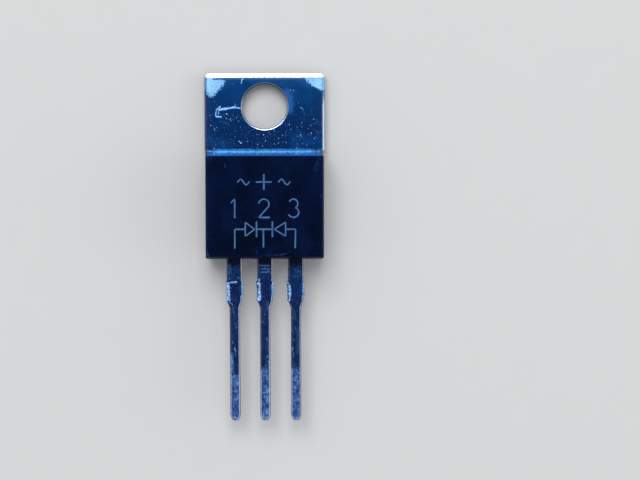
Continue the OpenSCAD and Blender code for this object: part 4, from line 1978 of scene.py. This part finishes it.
@dataclass
class Moulding:
    """The moulded body, which keeps its CAD shape."""

    node: str = "moulded_body"

    def build(self) -> None:
        """Dresses the body."""
        dress_node(self.node, MOULDING)


@dataclass
class InnerPieces:
    """Chips, solder films and bond wires inside the moulding."""

    sides: tuple[str, str] = ("left", "right")

    def build(self) -> None:
        """Dresses the inner pieces."""
        for side in self.sides:
            dress_node(f"die_solder_{side}", SOLDER)
            dress_node(f"die_{side}", SILICON)
            dress_node(f"bond_wire_{side}", DRAWN_WIRE)


# Studio, in metres


@dataclass
class Softbox:
    """A square lamp with soft edges to its shadows."""

    name: str
    place: tuple[float, float, float]
    size: float
    power: float
    target: tuple[float, float, float] = (0.0, -0.011, 0.0)

    def build(self) -> None:
        """Hangs the lamp and aims it at the part."""
        lamp = bpy.data.lights.new(self.name, "AREA")
        lamp.shape = "SQUARE"
        lamp.size = self.size
        lamp.energy = self.power
        holder = bpy.data.objects.new(self.name, lamp)
        holder.location = self.place
        aim = Vector(self.target) - holder.location
        holder.rotation_euler = aim.to_track_quat("-Z", "Y").to_euler()
        bpy.context.scene.collection.objects.link(holder)


@dataclass
class Studio:
    """Pale floor, soft light, and the camera almost straight above the part."""

    floor_half: float = 1.5
    camera_place: tuple[float, float, float] = (0.00182, -0.00182, 0.2)
    camera_turn: tuple[float, float, float] = (-2.676, -0.801, -0.108)
    lens: float = 134.4
    sensor: float = 36.0
    nearest: float = 0.01
    farthest: float = 10.0
    sky: float = 0.5
    sky_colour: Colour = (0.93, 0.96, 1.0, 1.0)

    def build(self) -> None:
        """Sets up the floor, the world, the lamps and the camera."""
        self.lay_floor()
        self.light_world()
        Softbox("window", place=(-0.06, 0.27, 0.5), size=0.36, power=2.1).build()
        Softbox("right_card", place=(0.42, -0.04, 0.16), size=0.3, power=0.4).build()
        self.set_camera()
        bpy.context.scene.view_settings.view_transform = "Standard"

    def lay_floor(self) -> None:
        """Lays the floor under the part's back face."""
        bm = bmesh.new()
        bmesh.ops.create_grid(bm, x_segments=4, y_segments=4, size=self.floor_half)
        mesh = bpy.data.meshes.new("floor")
        bm.to_mesh(mesh)
        bm.free()
        mesh.materials.append(PALE_FLOOR.material())
        floor = bpy.data.objects.new("floor", mesh)
        bpy.context.scene.collection.objects.link(floor)

    def light_world(self) -> None:
        """Gives the world one even, slightly cool light."""
        world = bpy.data.worlds.new("studio")
        world.use_nodes = True
        background = world.node_tree.nodes["Background"]
        background.inputs["Color"].default_value = self.sky_colour
        background.inputs["Strength"].default_value = self.sky
        bpy.context.scene.world = world

    def set_camera(self) -> None:
        """Places the camera where the photograph was taken from."""
        lens = bpy.data.cameras.new("camera")
        lens.sensor_width = self.sensor
        lens.lens = self.lens
        lens.clip_start = self.nearest
        lens.clip_end = self.farthest
        camera = bpy.data.objects.new("camera", lens)
        camera.location = self.camera_place
        camera.rotation_euler = Euler([math.radians(a) for a in self.camera_turn], "XYZ")
        bpy.context.scene.collection.objects.link(camera)
        bpy.context.scene.camera = camera


def main() -> None:
    """Builds and dresses every piece, then the studio."""
    logging.basicConfig(level=logging.INFO, format="%(name)s: %(message)s")
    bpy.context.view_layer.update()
    HeatSink().build()
    leads = (
        FlatLead(LeadPlace.LEFT, "anode_lead_left", LEFT_PLATING, drift=0.06),
        FlatLead(LeadPlace.CENTRE, HeatSink.node, CENTRE_PLATING, seed=7.3, left_stub=0.1),
        FlatLead(LeadPlace.RIGHT, "anode_lead_right", RIGHT_PLATING, seed=14.6, left_stub=0.12),
    )
    for piece in (*leads, BondPost("left"), BondPost("right"), Moulding(), InnerPieces()):
        piece.build()
    FrontMark().build()
    Studio().build()


if __name__ == "__main__":
    main()
